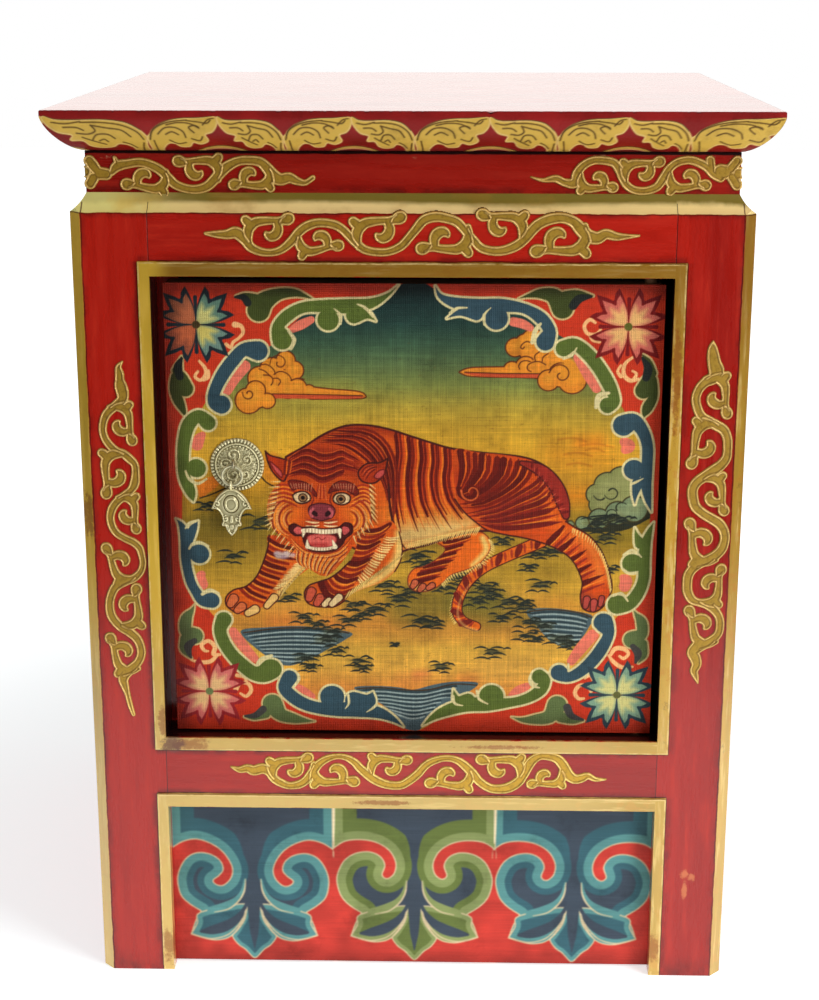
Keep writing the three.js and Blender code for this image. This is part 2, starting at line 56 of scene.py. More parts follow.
FRONT_Y = -span("leg_back_right", 1)[1]
CANVAS_X = span("door_canvas", 0)
CANVAS_Y, CANVAS_BACK = span("door_canvas", 1)
CANVAS_Z = span("door_canvas", 2)
APRON_X = span("apron_front", 0)
APRON_Y, APRON_BACK = span("apron_front", 1)
APRON_Z = span("apron_front", 2)
WAIST_X = span("waist_front", 0)[1]
WAIST_Y = span("waist_front", 1)[0]
TOP_X = span("top_board_front", 0)[1]
TOP_DEPTH = -span("top_board_front", 1)[0]
TOP_Z = span("top_board_front", 2)
TOP_SEAM = span("top_board_middle", 1)[1]


# Colours
def linear(colour):
    """The linear values of a colour given as 0 to 255 screen values."""
    c = np.asarray(colour, float) / 255
    return np.where(c <= 0.04045, c / 12.92, ((c + 0.055) / 1.055) ** 2.4)


# Painting in millimetres
def smooth(points, closed=False, steps=5):
    """A curve through points of two or three numbers; a point given twice is a corner."""
    p = np.array(points, float)
    p = np.vstack([p[-1:], p, p[:2]]) if closed else np.vstack([p[:1], p, p[-1:]])
    t = (np.arange(steps) / steps)[:, None]
    runs = []
    for a, b, c, d in zip(p[:-3], p[1:-2], p[2:-1], p[3:]):
        if np.allclose(b, c):
            continue
        runs.append(b + 0.5 * t * (c - a + t * (2 * a - 5 * b + 4 * c - d + t * (3 * (b - c) + d - a))))
    runs.append(p[-2:-1])
    return np.vstack(runs)


def path_distance(u, v, path, closed=False):
    """Distance from each place to a path, less the path's own radius where it has one.

    Inside a closed path the distance is negative.
    """
    best = np.full(u.shape, 1e6, np.float32)
    inside = np.zeros(u.shape, bool)
    has_radius = path.shape[1] > 2
    for a, b in zip(path[:-1], path[1:]):
        along_u, along_v = b[0] - a[0], b[1] - a[1]
        length = along_u**2 + along_v**2
        if length < 1e-9:
            continue
        t = np.clip(((u - a[0]) * along_u + (v - a[1]) * along_v) / length, 0, 1)
        gap = np.hypot(u - a[0] - t * along_u, v - a[1] - t * along_v)
        if has_radius:
            gap -= a[2] + (b[2] - a[2]) * t
        np.minimum(best, gap, out=best)
        if closed:
            crosses = (a[1] > v) != (b[1] > v)
            if crosses.any():
                inside ^= crosses & (u < along_u * (v - a[1]) / (along_v or 1e-9) + a[0])
    return np.where(inside, -best, best) if closed else best


def clouds(rows, cols, cell, seed):
    """Smooth noise from 0 to 1 whose cells are so many grid steps wide."""
    coarse = np.random.default_rng(seed).random((rows // cell + 3, cols // cell + 3))
    y, x = np.arange(rows) / cell, np.arange(cols) / cell
    iy, ix = y.astype(int), x.astype(int)
    fy, fx = (y - iy)[:, None], (x - ix)[None, :]
    fy, fx = fy * fy * (3 - 2 * fy), fx * fx * (3 - 2 * fx)
    low = coarse[np.ix_(iy, ix)] * (1 - fx) + coarse[np.ix_(iy, ix + 1)] * fx
    high = coarse[np.ix_(iy + 1, ix)] * (1 - fx) + coarse[np.ix_(iy + 1, ix + 1)] * fx
    return low * (1 - fy) + high * fy


def arc(centre, radius, start, end, count=9):
    """Points along an arc, from one angle to another in degrees."""
    turn = np.radians(np.linspace(start, end, count))
    return [(centre[0] + radius * math.cos(a), centre[1] + radius * math.sin(a)) for a in turn]


def spiral(centre, radii, angles, widths, count=12):
    """A tapering scroll line whose radius, angle and width run from the first value to the second."""
    share = np.linspace(0, 1, count)
    radius = radii[0] + (radii[1] - radii[0]) * share
    angle = np.radians(angles[0] + (angles[1] - angles[0]) * share)
    width = widths[0] + (widths[1] - widths[0]) * share
    return list(zip(centre[0] + radius * np.cos(angle), centre[1] + radius * np.sin(angle), width))


def dot(u, v, radius):
    """The stroke of a round dot."""
    return [(u, v, radius), (u + 0.1, v, radius)]


class Picture:
    """Colours laid on a grid of points, in millimetres to the right and up."""

    def __init__(self, across, up, step, ground):
        self.step = step
        self.u = np.linspace(*across, int(round((across[1] - across[0]) / step)) + 1)
        self.v = np.linspace(*up, int(round((up[1] - up[0]) / step)) + 1)
        self.colour = np.empty((len(self.v), len(self.u), 3))
        self.colour[:] = ground
        self.mask = None

    def window(self, paths, reach):
        """The rows and columns round some paths, and the places in them."""
        points = np.vstack([p[:, :2] for p in paths])
        low, high = points.min(0) - reach, points.max(0) + reach
        cols = slice(*np.searchsorted(self.u, (low[0], high[0])))
        rows = slice(*np.searchsorted(self.v, (low[1], high[1])))
        u, v = np.meshgrid(self.u[cols].astype(np.float32), self.v[rows].astype(np.float32))
        return (rows, cols), u, v

    def lay(self, window, distance, colour, soft=0.0, strength=1.0):
        """Colour where a distance is below zero, fading over one grid step and the soft width."""
        cover = np.clip(0.5 - distance / (self.step + soft), 0, 1) * strength
        if self.mask is not None:
            cover = cover * self.mask[window]
        under = self.colour[window]
        under += (np.asarray(colour, float) - under) * cover[..., None]

    def outline_in(self, window, distance, width, colour):
        """A line of that width along the zero of a distance."""
        self.lay(window, np.abs(distance) - width / 2, colour)

    def fill(self, points, colour, rim=None, rim_width=1.0, soft=0.0, strength=1.0):
        """A flat shape inside a closed curve, with a line round it if a rim is given."""
        path = smooth(points, True)
        window, u, v = self.window([path], 2 + soft)
        if u.size:
            distance = path_distance(u, v, path, True)
            self.lay(window, distance, colour, soft, strength)
            if rim is not None:
                self.outline_in(window, distance, rim_width, rim)

    def line(self, points, colour, width=None, soft=0.0, strength=1.0):
        """A line of one width, or with half its width as each point's third number."""
        path = smooth(points)
        reach = 2 + soft + (path[:, 2].max() if width is None else width)
        window, u, v = self.window([path], reach)
        if u.size:
            distance = path_distance(u, v, path) - (0 if width is None else width / 2)
            self.lay(window, distance, colour, soft, strength)

    def leaf(self, strokes, colour, rim, rim_width):
        """A flat shape made of tapering strokes, with one line round them all."""
        paths = [smooth(stroke) for stroke in strokes]
        reach = 2 + rim_width + max(path[:, 2].max() for path in paths)
        window, u, v = self.window(paths, reach)
        distance = np.min([path_distance(u, v, path) for path in paths], axis=0)
        self.lay(window, distance, colour)
        self.outline_in(window, distance, rim_width, rim)

    def inside(self, points=None, soft=0.0):
        """Keeps what follows inside a shape, or lifts that again."""
        self.mask = None
        if points is not None:
            path = smooth(points, True)
            window, u, v = self.window([path], 1)
            self.mask = np.zeros(self.colour.shape[:2])
            distance = path_distance(u, v, path, True)
            self.mask[window] = np.clip(0.5 - distance / (self.step + soft), 0, 1)

    def hatch(self, first, last, colours, widths, count, seed=1, jitter=0.15, ends=(0.25, 0.1)):
        """Tapering strokes spread from one guide line to another, in turn in each colour and width."""
        steps = 14
        share = np.linspace(0, 1, steps)
        guides = []
        for points in (first, last):
            curve = smooth(points)
            guides.append(curve[np.linspace(0, len(curve) - 1, steps).round().astype(int)])
        random = np.random.default_rng(seed)
        taper = np.minimum(1,
                           np.minimum(share / max(ends[0], 1e-3),
                                      (1 - share) / max(ends[1], 1e-3)) * 0.9 + 0.1)
        for i in range(count):
            s = (i + 0.5 + jitter * random.uniform(-1, 1)) / count
            path = guides[0] + (guides[1] - guides[0]) * s
            cut = random.integers(0, 3)
            radius = widths[i % len(widths)] * taper * random.uniform(0.8, 1.15) / 2
            path = np.column_stack([path, radius])[: steps - cut]
            window, u, v = self.window([path], 3)
            if u.size:
                self.lay(window, path_distance(u, v, path), colours[i % len(colours)])


# The painted door
PAINT_STEP = 0.45
DOOR_WIDTH = 324.77
DOOR_HEIGHT = 309.9
DOOR_RED = (196, 50, 22)
LEAF_GREEN = (86, 100, 38)
LEAF_BLUE = (50, 74, 84)
CREAM = (214, 196, 140)
CURL = (240, 178, 116)
PINK = (224, 112, 88)
INK = (34, 38, 34)
SKY = [(0, (204, 138, 52)), (30, (210, 130, 50)), (45, (212, 154, 58)), (60, (202, 152, 54)),
       (76, (198, 130, 46)), (84, (208, 138, 46)), (100, (186, 138, 42)), (118, (188, 144, 42)),
       (132, (158, 120, 32)), (150, (148, 114, 28)), (175, (194, 138, 34)), (197, (210, 154, 38)),
       (215, (194, 150, 42)), (228, (168, 142, 48)), (242, (122, 126, 58)), (255, (88, 104, 60)),
       (270, (58, 84, 60)), (284, (36, 62, 54)), (300, (24, 44, 42)), (310, (18, 34, 34))]
CLOUD_LINE = (96, 40, 16)
CARTOUCHE = [(8, 155), (11, 190), (20, 220), (34, 242), (52, 262), (70, 269), (82, 281), (100, 295),
             (135, 300), (164, 312), (190, 298), (225, 297), (250, 281), (272, 266), (290, 242), (303, 222),
             (316, 190), (320, 157), (316, 120), (306, 92), (291, 74), (275, 50), (256, 38), (240, 26),
             (212, 18), (185, 12), (164, 0), (140, 10), (105, 18), (82, 30), (68, 44), (45, 54), (32, 76),
             (18, 96), (9, 125)]


def paint_ground(p):
    """Sky and ground inside the cartouche."""
    p.inside(CARTOUCHE)
    heights, shades = zip(*SKY)
    rows, cols = p.colour.shape[:2]
    base = np.column_stack([np.interp(p.v, heights, [s[i] for s in shades]) for i in range(3)])
    sky = np.repeat(base[:, None, :], cols, axis=1)
    cloud = clouds(rows, cols, int(26 / p.step), 3) - 0.5
    fine = clouds(rows, cols, int(5 / p.step), 4) - 0.5
    sky *= 1 + 0.16 * cloud[..., None] + 0.1 * fine[..., None]
    everywhere = (slice(None), slice(None))
    p.lay(everywhere, np.full((rows, cols), -9.0), sky)
    soft_patches = [((272, 196, 14), (206, 128, 24), 26), ((268, 168, 9), (208, 112, 14), 14),
                    ((278, 205, 6), (212, 116, 20), 10), ((40, 143, 16), (112, 92, 26), 18),
                    ((40, 120, 14), (150, 116, 30), 16), ((28, 150, 8), (116, 96, 30), 12),
                    ((24, 172, 6), (216, 120, 24), 8), ((300, 140, 12), (134, 112, 26), 14),
                    ((240, 118, 18), (150, 116, 30), 22), ((232, 98, 10), (204, 148, 50), 16),
                    ((75, 79, 7), (200, 104, 40), 14), ((110, 78, 5), (200, 110, 44), 10),
                    ((160, 36, 5), (208, 122, 52), 14), ((200, 38, 4), (196, 104, 42), 10),
                    ((168, 41, 3), (216, 112, 62), 8), ((186, 92, 26), (112, 96, 30), 18),
                    ((232, 84, 16), (128, 104, 36), 16), ((165, 88, 12), (134, 108, 36), 16),
                    ((204, 93, 12), (104, 96, 34), 14), ((255, 92, 8), (212, 140, 46), 12),
                    ((75, 88, 6), (206, 138, 56), 10), ((100, 55, 10), (208, 158, 60), 16),
                    ((230, 45, 14), (208, 152, 62), 20), ((110, 30, 4), (206, 130, 56), 9),
                    ((45, 200, 14), (196, 150, 46), 16), ((100, 232, 16), (168, 150, 56), 18)]
    for (u, v, r), colour, soft in soft_patches:
        p.line([(u - r, v, r * 0.5), (u + r, v + 1, r * 0.5)], colour, soft=soft, strength=0.75)
    random = np.random.default_rng(8)
    for _ in range(240):
        u, v = random.uniform(20, 305), random.uniform(15, 290)
        p.line([(u, v), (u + random.uniform(0.3, 1.6), v)], (96, 66, 26), 0.5, 0.5,
               random.uniform(0.1, 0.5))
    p.fill([(20, 176), (30, 180.5), (33, 175), (26, 169), (20.4, 165.8)], (214, 112, 26))
    p.line([(20.3, 165.4), (28, 168), (38, 172.6)], (58, 46, 22), 1)
    p.fill([(63, 181), (64, 194), (72, 196), (76, 184), (71, 173.4)], (216, 130, 30), soft=3, strength=0.9)
    p.line([(61, 181), (65, 176.5), (71.5, 172.8)], (64, 44, 20), 1.1)
    for u, v, length in ((258, 207, 18), (272, 203, 22), (262, 197, 18), (264, 190, 16), (276, 200, 12)):
        p.line([(u, v), (u + length * 0.5, v + 1.2), (u + length, v - 1)], (168, 84, 16), 0.9, 1.2, 0.6)


def paint_water(p):
    """Three ribbed patches of water."""
    shapes = [([(45, 71), (62, 74.5), (90, 75.5), (120, 71.5), (116, 66), (106, 60), (90, 51), (76, 47),
                (62, 54)], [(47, 70.5), (72, 74), (98, 74), (119, 71)],
               [(66, 52), (76, 50), (84, 50), (92, 52)], 8),
              ([(239, 88), (256, 90), (275, 87.5), (284, 84), (281, 76), (276, 68), (268, 62), (256, 66),
                (247, 76)],
               [(241, 87.5), (256, 89), (274, 87), (283, 83.5)],
               [(255, 66), (263, 64), (270, 64), (275, 66)],
               7),
              ([(122, 31), (137, 32.8), (152, 32), (163, 30.4), (176, 34), (190, 36.4), (207, 35.4),
                (196, 26), (182, 18), (172, 8), (166, 0), (158, 0), (152, 10), (140, 20)],
               [(124, 30.6), (140, 31.6), (156, 30.2), (172, 30.2), (190, 34.6), (206, 34)],
               [(150, 14), (155, 11), (160, 9), (164, 9), (168, 10), (170, 12)],
               7)]
    for shape, top, bottom, count in shapes:
        p.fill(shape, (74, 92, 96))
        keep = p.mask
        p.inside(shape)
        p.mask = p.mask * keep
        p.hatch(top, bottom, [(44, 60, 64)], [2.4], count, jitter=0.05, ends=(0.1, 0.1))
        p.hatch([(u, v - 1.3) for u, v in top], [(u, v - 1.3) for u, v in bottom],
                [(142, 156, 150)], [1.3], count, jitter=0.05, ends=(0.12, 0.2))
        p.mask = keep
        p.line(top, (66, 44, 24), 0.9)


# Tufts of grass: right, up and size
TUFTS = [(41, 125, 10), (24, 160, 7), (60, 149, 12), (78, 96, 8), (88, 82, 9), (97, 77, 8), (118, 80, 10),
         (122, 91, 8), (104, 66, 9), (110, 58, 8), (90, 52, 9), (92, 46, 7), (125, 51, 9), (181, 47, 9),
         (128, 46, 7), (108, 72, 7), (143, 105, 10), (152, 95, 10), (136, 88, 11), (160, 101, 9),
         (168, 80, 11), (176, 78, 8), (128, 84, 8), (165, 126, 11), (170, 121, 8), (184, 104, 9),
         (210, 104, 10), (214, 100, 9), (206, 94, 9), (226, 94, 10), (236, 90, 9), (222, 83, 8),
         (240, 80, 9), (250, 77, 8), (262, 68, 9), (268, 64, 7), (238, 70, 8), (246, 68, 6), (216, 58, 10),
         (248, 106, 10), (238, 94, 5), (240, 119, 6), (222, 137, 7), (255, 130, 9), (245, 128, 8),
         (290, 140, 10), (294, 118, 7), (284, 150, 9), (300, 152, 9), (192, 112, 8), (150, 63, 3),
         (200, 108, 7)]

# One tuft's blades as shares of its size: right, up and half length
TUFT = [(-0.5, 0.36, 0.44), (0.42, 0.3, 0.4), (0.75, 0.24, 0.22), (0.02, 0.14, 0.5), (0.34, -0.04, 0.46),
        (-0.16, -0.1, 0.3), (-0.52, -0.3, 0.5), (0.2, -0.36, 0.42)]


def paint_grass(p):
    """Tufts of short dark blades, most of them nearly level, like eyebrows."""
    random = np.random.default_rng(21)
    for u, v, size in TUFTS:
        size = 1.2 * size
        p.line([(u - size * 0.6, v, 1), (u, v + 0.4, size * 0.2), (u + size * 0.6, v, 1)], (84, 76, 30),
               soft=4, strength=0.5)
        p.line([(u - size * 0.2, v, size * 0.1), (u + size * 0.3, v, size * 0.1)], (46, 52, 44), soft=1.6,
               strength=0.8)
        for along, level, half in TUFT:
            middle = u + size * (along + random.uniform(-0.12, 0.12))
            height = v + size * (level + random.uniform(-0.06, 0.06)) * 0.9
            reach = size * half * random.uniform(0.75, 1.1)
            drop = size * random.uniform(0.06, 0.12)
            lean = random.uniform(-0.3, 0.3) * drop
            p.line([(middle - reach, height - drop - lean, 0.2), (middle - reach * 0.3, height, 0.62),
                    (middle + reach * 0.3, height + lean, 0.7),
                    (middle + reach, height - drop + lean, 0.2)], (38, 42, 34))


def paint_cloud(p, lumps, runs=()):
    """Part of an orange cloud: round lumps and tapering runs under one outline."""
    strokes = [dot(*lump) for lump in lumps] + list(runs)
    p.leaf(strokes, (220, 130, 34), CLOUD_LINE, 0.9)
    for u, v, r in lumps:
        p.line(dot(u, v + 0.2 * r, 0.3 * r), (232, 164, 48), soft=r, strength=0.6)


def paint_clouds(p):
    """Each cloud runs out into a flat tail with a red underside, and has one lump in front."""
    paint_cloud(p,
                [(79, 259, 6.3), (84.5, 252.5, 6.2), (70, 253, 8), (62, 247, 8), (78, 246, 7),
                 (86.5, 241, 6), (94, 238.6, 4.4), (70, 240, 6.6), (80, 239, 5.4)],
                [[(96, 237.4, 4.3), (108, 236.9, 3.4), (121, 236.5, 2.9), (128, 236, 2.2),
                  (131, 235.2, 0.5)]])
    p.line([(70, 235.1, 1.5), (100, 234.9, 1.4), (122, 234.9, 1.1), (130, 235.2, 0.3)], (196, 74, 38))
    for path in ([(70, 236.7), (100, 236.4), (129, 235.8)],
                 [(71.2, 249.8), (74.5, 251.6), (78, 251.3), (81.3, 249), (82.8, 245.7)],
                 [(62.4, 255.9), (66, 256.4), (69.2, 254.9), (71.5, 252.2), (72, 249.8)],
                 [(61.5, 253.4), (65.3, 251.9), (69.2, 248.3)],
                 [(64.4, 249.3), (68, 249), (70.2, 247.2), (70.4, 244.6), (69.2, 242.6)],
                 [(71.2, 247.2), (74, 247), (75.4, 245), (74.1, 242.6)],
                 [(82.3, 245.7), (86.7, 247.3), (91, 246.6)]):
        p.line(path, CLOUD_LINE, 0.8)
    p.line(spiral((74.8, 257.4), (6.2, 1.4), (190, -190), (0.3, 0.45)), CLOUD_LINE)
    paint_cloud(p, [(59, 239, 6.4), (66.5, 232, 5.2), (60, 233, 6), (54, 232, 8.6)])
    p.line(spiral((54.4, 236.6), (4.2, 1.2), (165, 520), (0.35, 0.5)), CLOUD_LINE)

    paint_cloud(p, [(228.5, 268.5, 6.2), (235, 270.5, 7), (240, 273, 7.8), (247, 263, 9), (255, 257, 9),
                    (236, 265.6, 5)])
    paint_cloud(p, [(226.5, 253.8, 5.4), (235.5, 256, 6.6), (243, 254, 6)],
                [[(246, 252, 3.7), (228, 252.1, 3.6), (206, 252.1, 3.3), (198, 252, 2.6),
                  (192.6, 252, 0.4)]])
    p.fill([(238, 253), (240, 259), (243, 264), (252, 266), (262, 262), (260, 250), (246, 251.4)],
           (220, 134, 36))
    p.line([(246, 249.8, 1.4), (222, 250, 1.4), (204, 250.4, 1), (196, 251.2, 0.3)], (196, 74, 38))
    for path in ([(246, 251.2), (222, 251.2), (196, 251.9)],
                 [(239.8, 270.8), (236.3, 272.5), (233.2, 270.8), (232.1, 268.6), (233.4, 267.6),
                  (234.4, 268.8)],
                 [(239, 252.6), (236.9, 254), (237, 256.8), (240.4, 258.9), (244.8, 259.1), (248.6, 257.1)],
                 [(231.6, 254.2), (231, 256.4), (232.6, 259), (235.5, 259.8), (238.4, 259.2)],
                 [(241.7, 259.9), (241.4, 263.2), (244.4, 265.8)],
                 [(246.3, 259.4), (246.8, 262.2), (250, 264.6)]):
        p.line(path, CLOUD_LINE, 0.8)
    paint_cloud(p, [(250.5, 246.8, 7), (258.4, 250.4, 8), (266, 247.4, 9.4)])
    p.fill([(262, 262), (270, 258), (272, 250), (264, 246), (258, 252)], (224, 140, 36), soft=3)
    p.line(spiral((258.6, 250.6), (7.8, 1.2), (170, -230), (0.4, 0.45)), CLOUD_LINE)


def paint_rocks(p):
    """Two heaps of round rocks at the right, with curled cracks."""
    outline = (62, 52, 26)
    p.line([(272, 146, 2), (300, 148, 3.5), (318, 156, 3)], (44, 44, 28))
    upper = [(291, 176, 9), (300, 180, 9), (309, 176, 8), (284, 170, 7), (298, 168, 11), (311, 166, 9),
             (286, 163, 7)]
    lower = [(286, 153, 7), (298, 157, 8), (275, 150, 4.5), (309, 160, 9), (267, 149, 2.5)]
    for puffs, colour in ((upper, (132, 134, 76)), (lower, (112, 128, 92))):
        p.leaf([dot(*puff) for puff in puffs], colour, outline, 1)
        for u, v, r in puffs:
            p.line([(u, v, r * 0.4), (u + 1, v, r * 0.4)], (168, 162, 100), soft=r, strength=0.45)
    for centre, radius, start, end in (((294, 171), 5, 200, 500), ((288, 170), 6, 190, 290),
                                       ((294, 156), 4, 0, 360), ((285, 150), 4, 60, 300),
                                       ((300, 160), 5, 40, 200)):
        p.line(spiral(centre, (radius, radius * 0.5), (start, end), (0.3, 0.6)), (44, 46, 30))
    p.hatch([(278, 155), (292, 156)], [(284, 147), (306, 155)], [(34, 38, 30)], [1.4], 5)


# The tiger
FUR_DARK = (92, 18, 8)
FUR_RED = (176, 50, 10)
FUR_ORANGE = (220, 96, 18)
FUR_LIGHT = (234, 126, 34)
FUR_CREAM = (228, 190, 104)
TIGER_LINE = (70, 22, 16)


def shaded(p, shape, colour, patches, rim=TIGER_LINE, rim_width=1.2):
    """A filled shape with soft patches of other colours; what follows stays inside it until close_shape."""
    p.fill(shape, colour)
    keep = p.mask
    p.inside(shape)
    for points, tint, soft in patches:
        p.line(points, tint, soft=soft, strength=0.9)
    return keep, (shape, rim, rim_width)


def close_shape(p, state):
    """Lifts the mask of shaded and draws the outline."""
    keep, (shape, rim, rim_width) = state
    p.mask = keep
    if rim is not None:
        path = shape + shape[:1]
        p.line(path, rim, rim_width)


def toes(p, places, colour):
    """Rounded toes: right, up, half length, half width and tilt in degrees."""
    for u, v, reach, radius, tilt in places:
        c, s = math.cos(math.radians(tilt)), math.sin(math.radians(tilt))
        stroke = [(u - c * reach, v - s * reach, radius * 0.8), (u + c * reach, v + s * reach, radius)]
        p.leaf([stroke], colour, TIGER_LINE, 0.8)


def fringe(p, edge, lean):
    """Short pale hairs that stand off an edge."""
    for place in smooth(edge, steps=6):
        u, v = place[:2]
        p.line([(u, v, 0.5), (u + lean[0], v + lean[1], 0.15)], FUR_CREAM)


def paint_tail(p):
    """The tail between the hind legs, with a broad ring after every two thin ones."""
    path = [(248, 137), (236, 131.5), (223, 125.5), (210, 118.5), (200, 109.5), (194, 99), (192, 88),
            (196, 80.5), (205, 76.5)]
    fringe(p, [(204, 116), (197, 110), (191, 100), (189, 88), (192, 80)], (-2, -2.2))
    p.leaf([[(u, v, r) for (u, v), r in zip(path, np.linspace(4.2, 3.2, len(path)))]], FUR_ORANGE,
           TIGER_LINE, 0.8)
    curve = smooth(path, steps=12)
    for i in range(3, len(curve) - 3, 4):
        along = curve[i + 1] - curve[i - 1]
        across = np.array([-along[1], along[0]]) / np.hypot(*along) * 2.6
        broad = i % 12 == 3
        slant = along / np.hypot(*along) * (2.5 if broad else 1)
        a, b = curve[i] - across - slant, curve[i] + across + slant
        p.line([(*a, 1.8 if broad else 0.6), (*curve[i], 2.2 if broad else 0.9),
                (*b, 1.2 if broad else 0.4)], (112, 28, 16) if broad else (160, 48, 24))
    p.line([(u + 0.6, v - 3, r) for (u, v), r in zip(path[4:], np.linspace(0.4, 1, 5))], FUR_CREAM, soft=1,
           strength=0.5)


def paint_far_leg(p):
    """The far hind leg, reaching forward under the belly."""
    shape = [(178, 136), (192, 141), (205, 144), (213, 139), (214, 131), (208, 122), (199, 117), (188, 113),
             (182, 107), (174, 102), (166, 101), (160, 104), (159, 111), (163, 117), (170, 119), (178, 124),
             (184, 131)]
    state = shaded(p, shape, FUR_ORANGE,
                   [([(209, 139, 2), (211, 130, 2), (202, 120, 1.4)], FUR_CREAM, 2.5),
                    ([(160, 105, 1.6), (172, 102, 1.6)], FUR_CREAM, 2.5)], (120, 44, 24), 0.8)
    p.hatch([(183, 137), (192, 138), (205, 143)], [(161, 106), (168, 108), (180, 111)],
            [FUR_DARK, FUR_LIGHT, (140, 34, 10)], [3.6, 1, 2.4], 16, ends=(0.05, 0.35))
    close_shape(p, state)
    toes(p, [(163, 106, 1.5, 2.4, 60), (168, 103.5, 1.5, 2.4, 50), (174, 104.5, 1.6, 2.2, 35)],
         (196, 92, 56))
    fringe(p, [(213, 138), (214.5, 131), (208.5, 121.5)], (2.6, -1.6))
    fringe(p, [(207, 121), (199, 116.5), (188, 112.5), (182, 106.5)], (1.4, -2.6))


def paint_body(p):
    """Shoulder and flank, striped across."""
    body = [(78, 194), (90, 201), (104, 210), (118, 215.5), (132, 216), (146, 213.5), (160, 209),
            (174, 204.5), (186, 201), (202, 198.5), (218, 197), (232, 195.5), (243, 192.5), (252, 187),
            (259, 180), (264, 170), (266, 158), (264, 151), (252, 142), (232, 143), (212, 144), (200, 143),
            (186, 139), (172, 134), (160, 131), (150, 128), (130, 128), (110, 140), (92, 160), (80, 178)]
    state = shaded(p, body, (206, 80, 14), [
        ([(150, 154, 8), (180, 156, 8), (205, 158, 6)], (222, 126, 34), 16),
        ([(150, 139, 8), (178, 144, 8), (200, 149, 4)], (220, 184, 108), 12),
        ([(90, 204, 4), (130, 214, 4), (170, 206, 3), (200, 199, 3), (240, 193, 4)], (156, 46, 12), 6),
        ([(158, 175, 8), (175, 178, 6)], (214, 92, 18), 12),
    ], rim_width=1.5)
    p.hatch([(150, 214), (152, 198), (150, 180), (150, 160), (153, 142)],
            [(188, 203), (189, 190), (188, 178), (192, 164), (206, 147)],
            [FUR_DARK, (188, 56, 12), (116, 26, 8), (196, 64, 12), (232, 112, 26), (190, 58, 12)],
            [4.4, 1.2, 2.8, 1.3, 1.2, 1.2], 28, 5, 0.3, (0.02, 0.5))
    p.hatch([(98, 202), (114, 203), (126, 197), (136, 188), (143, 176), (146, 160)],
            [(112, 214), (134, 213), (147, 202), (152, 184), (151, 166), (150, 150)],
            [FUR_DARK, (204, 70, 16), (120, 28, 10), (226, 104, 30)], [3.4, 1.2, 2.2, 1.2], 15, 6, 0.2,
            (0.1, 0.3))
    p.hatch([(160, 136), (180, 141), (204, 147)], [(158, 131), (178, 135), (204, 142)], [FUR_CREAM], [0.8],
            3)
    close_shape(p, state)
    p.hatch([(157, 134), (156, 130)], [(208, 147), (205, 141)], [FUR_CREAM], [0.8], 34, ends=(0.05, 0.6))
    p.line([(146, 176, 0.6), (147, 160, 0.9), (150, 146, 0.9), (154, 136, 0.7), (157, 131.5, 0.4)],
           TIGER_LINE)


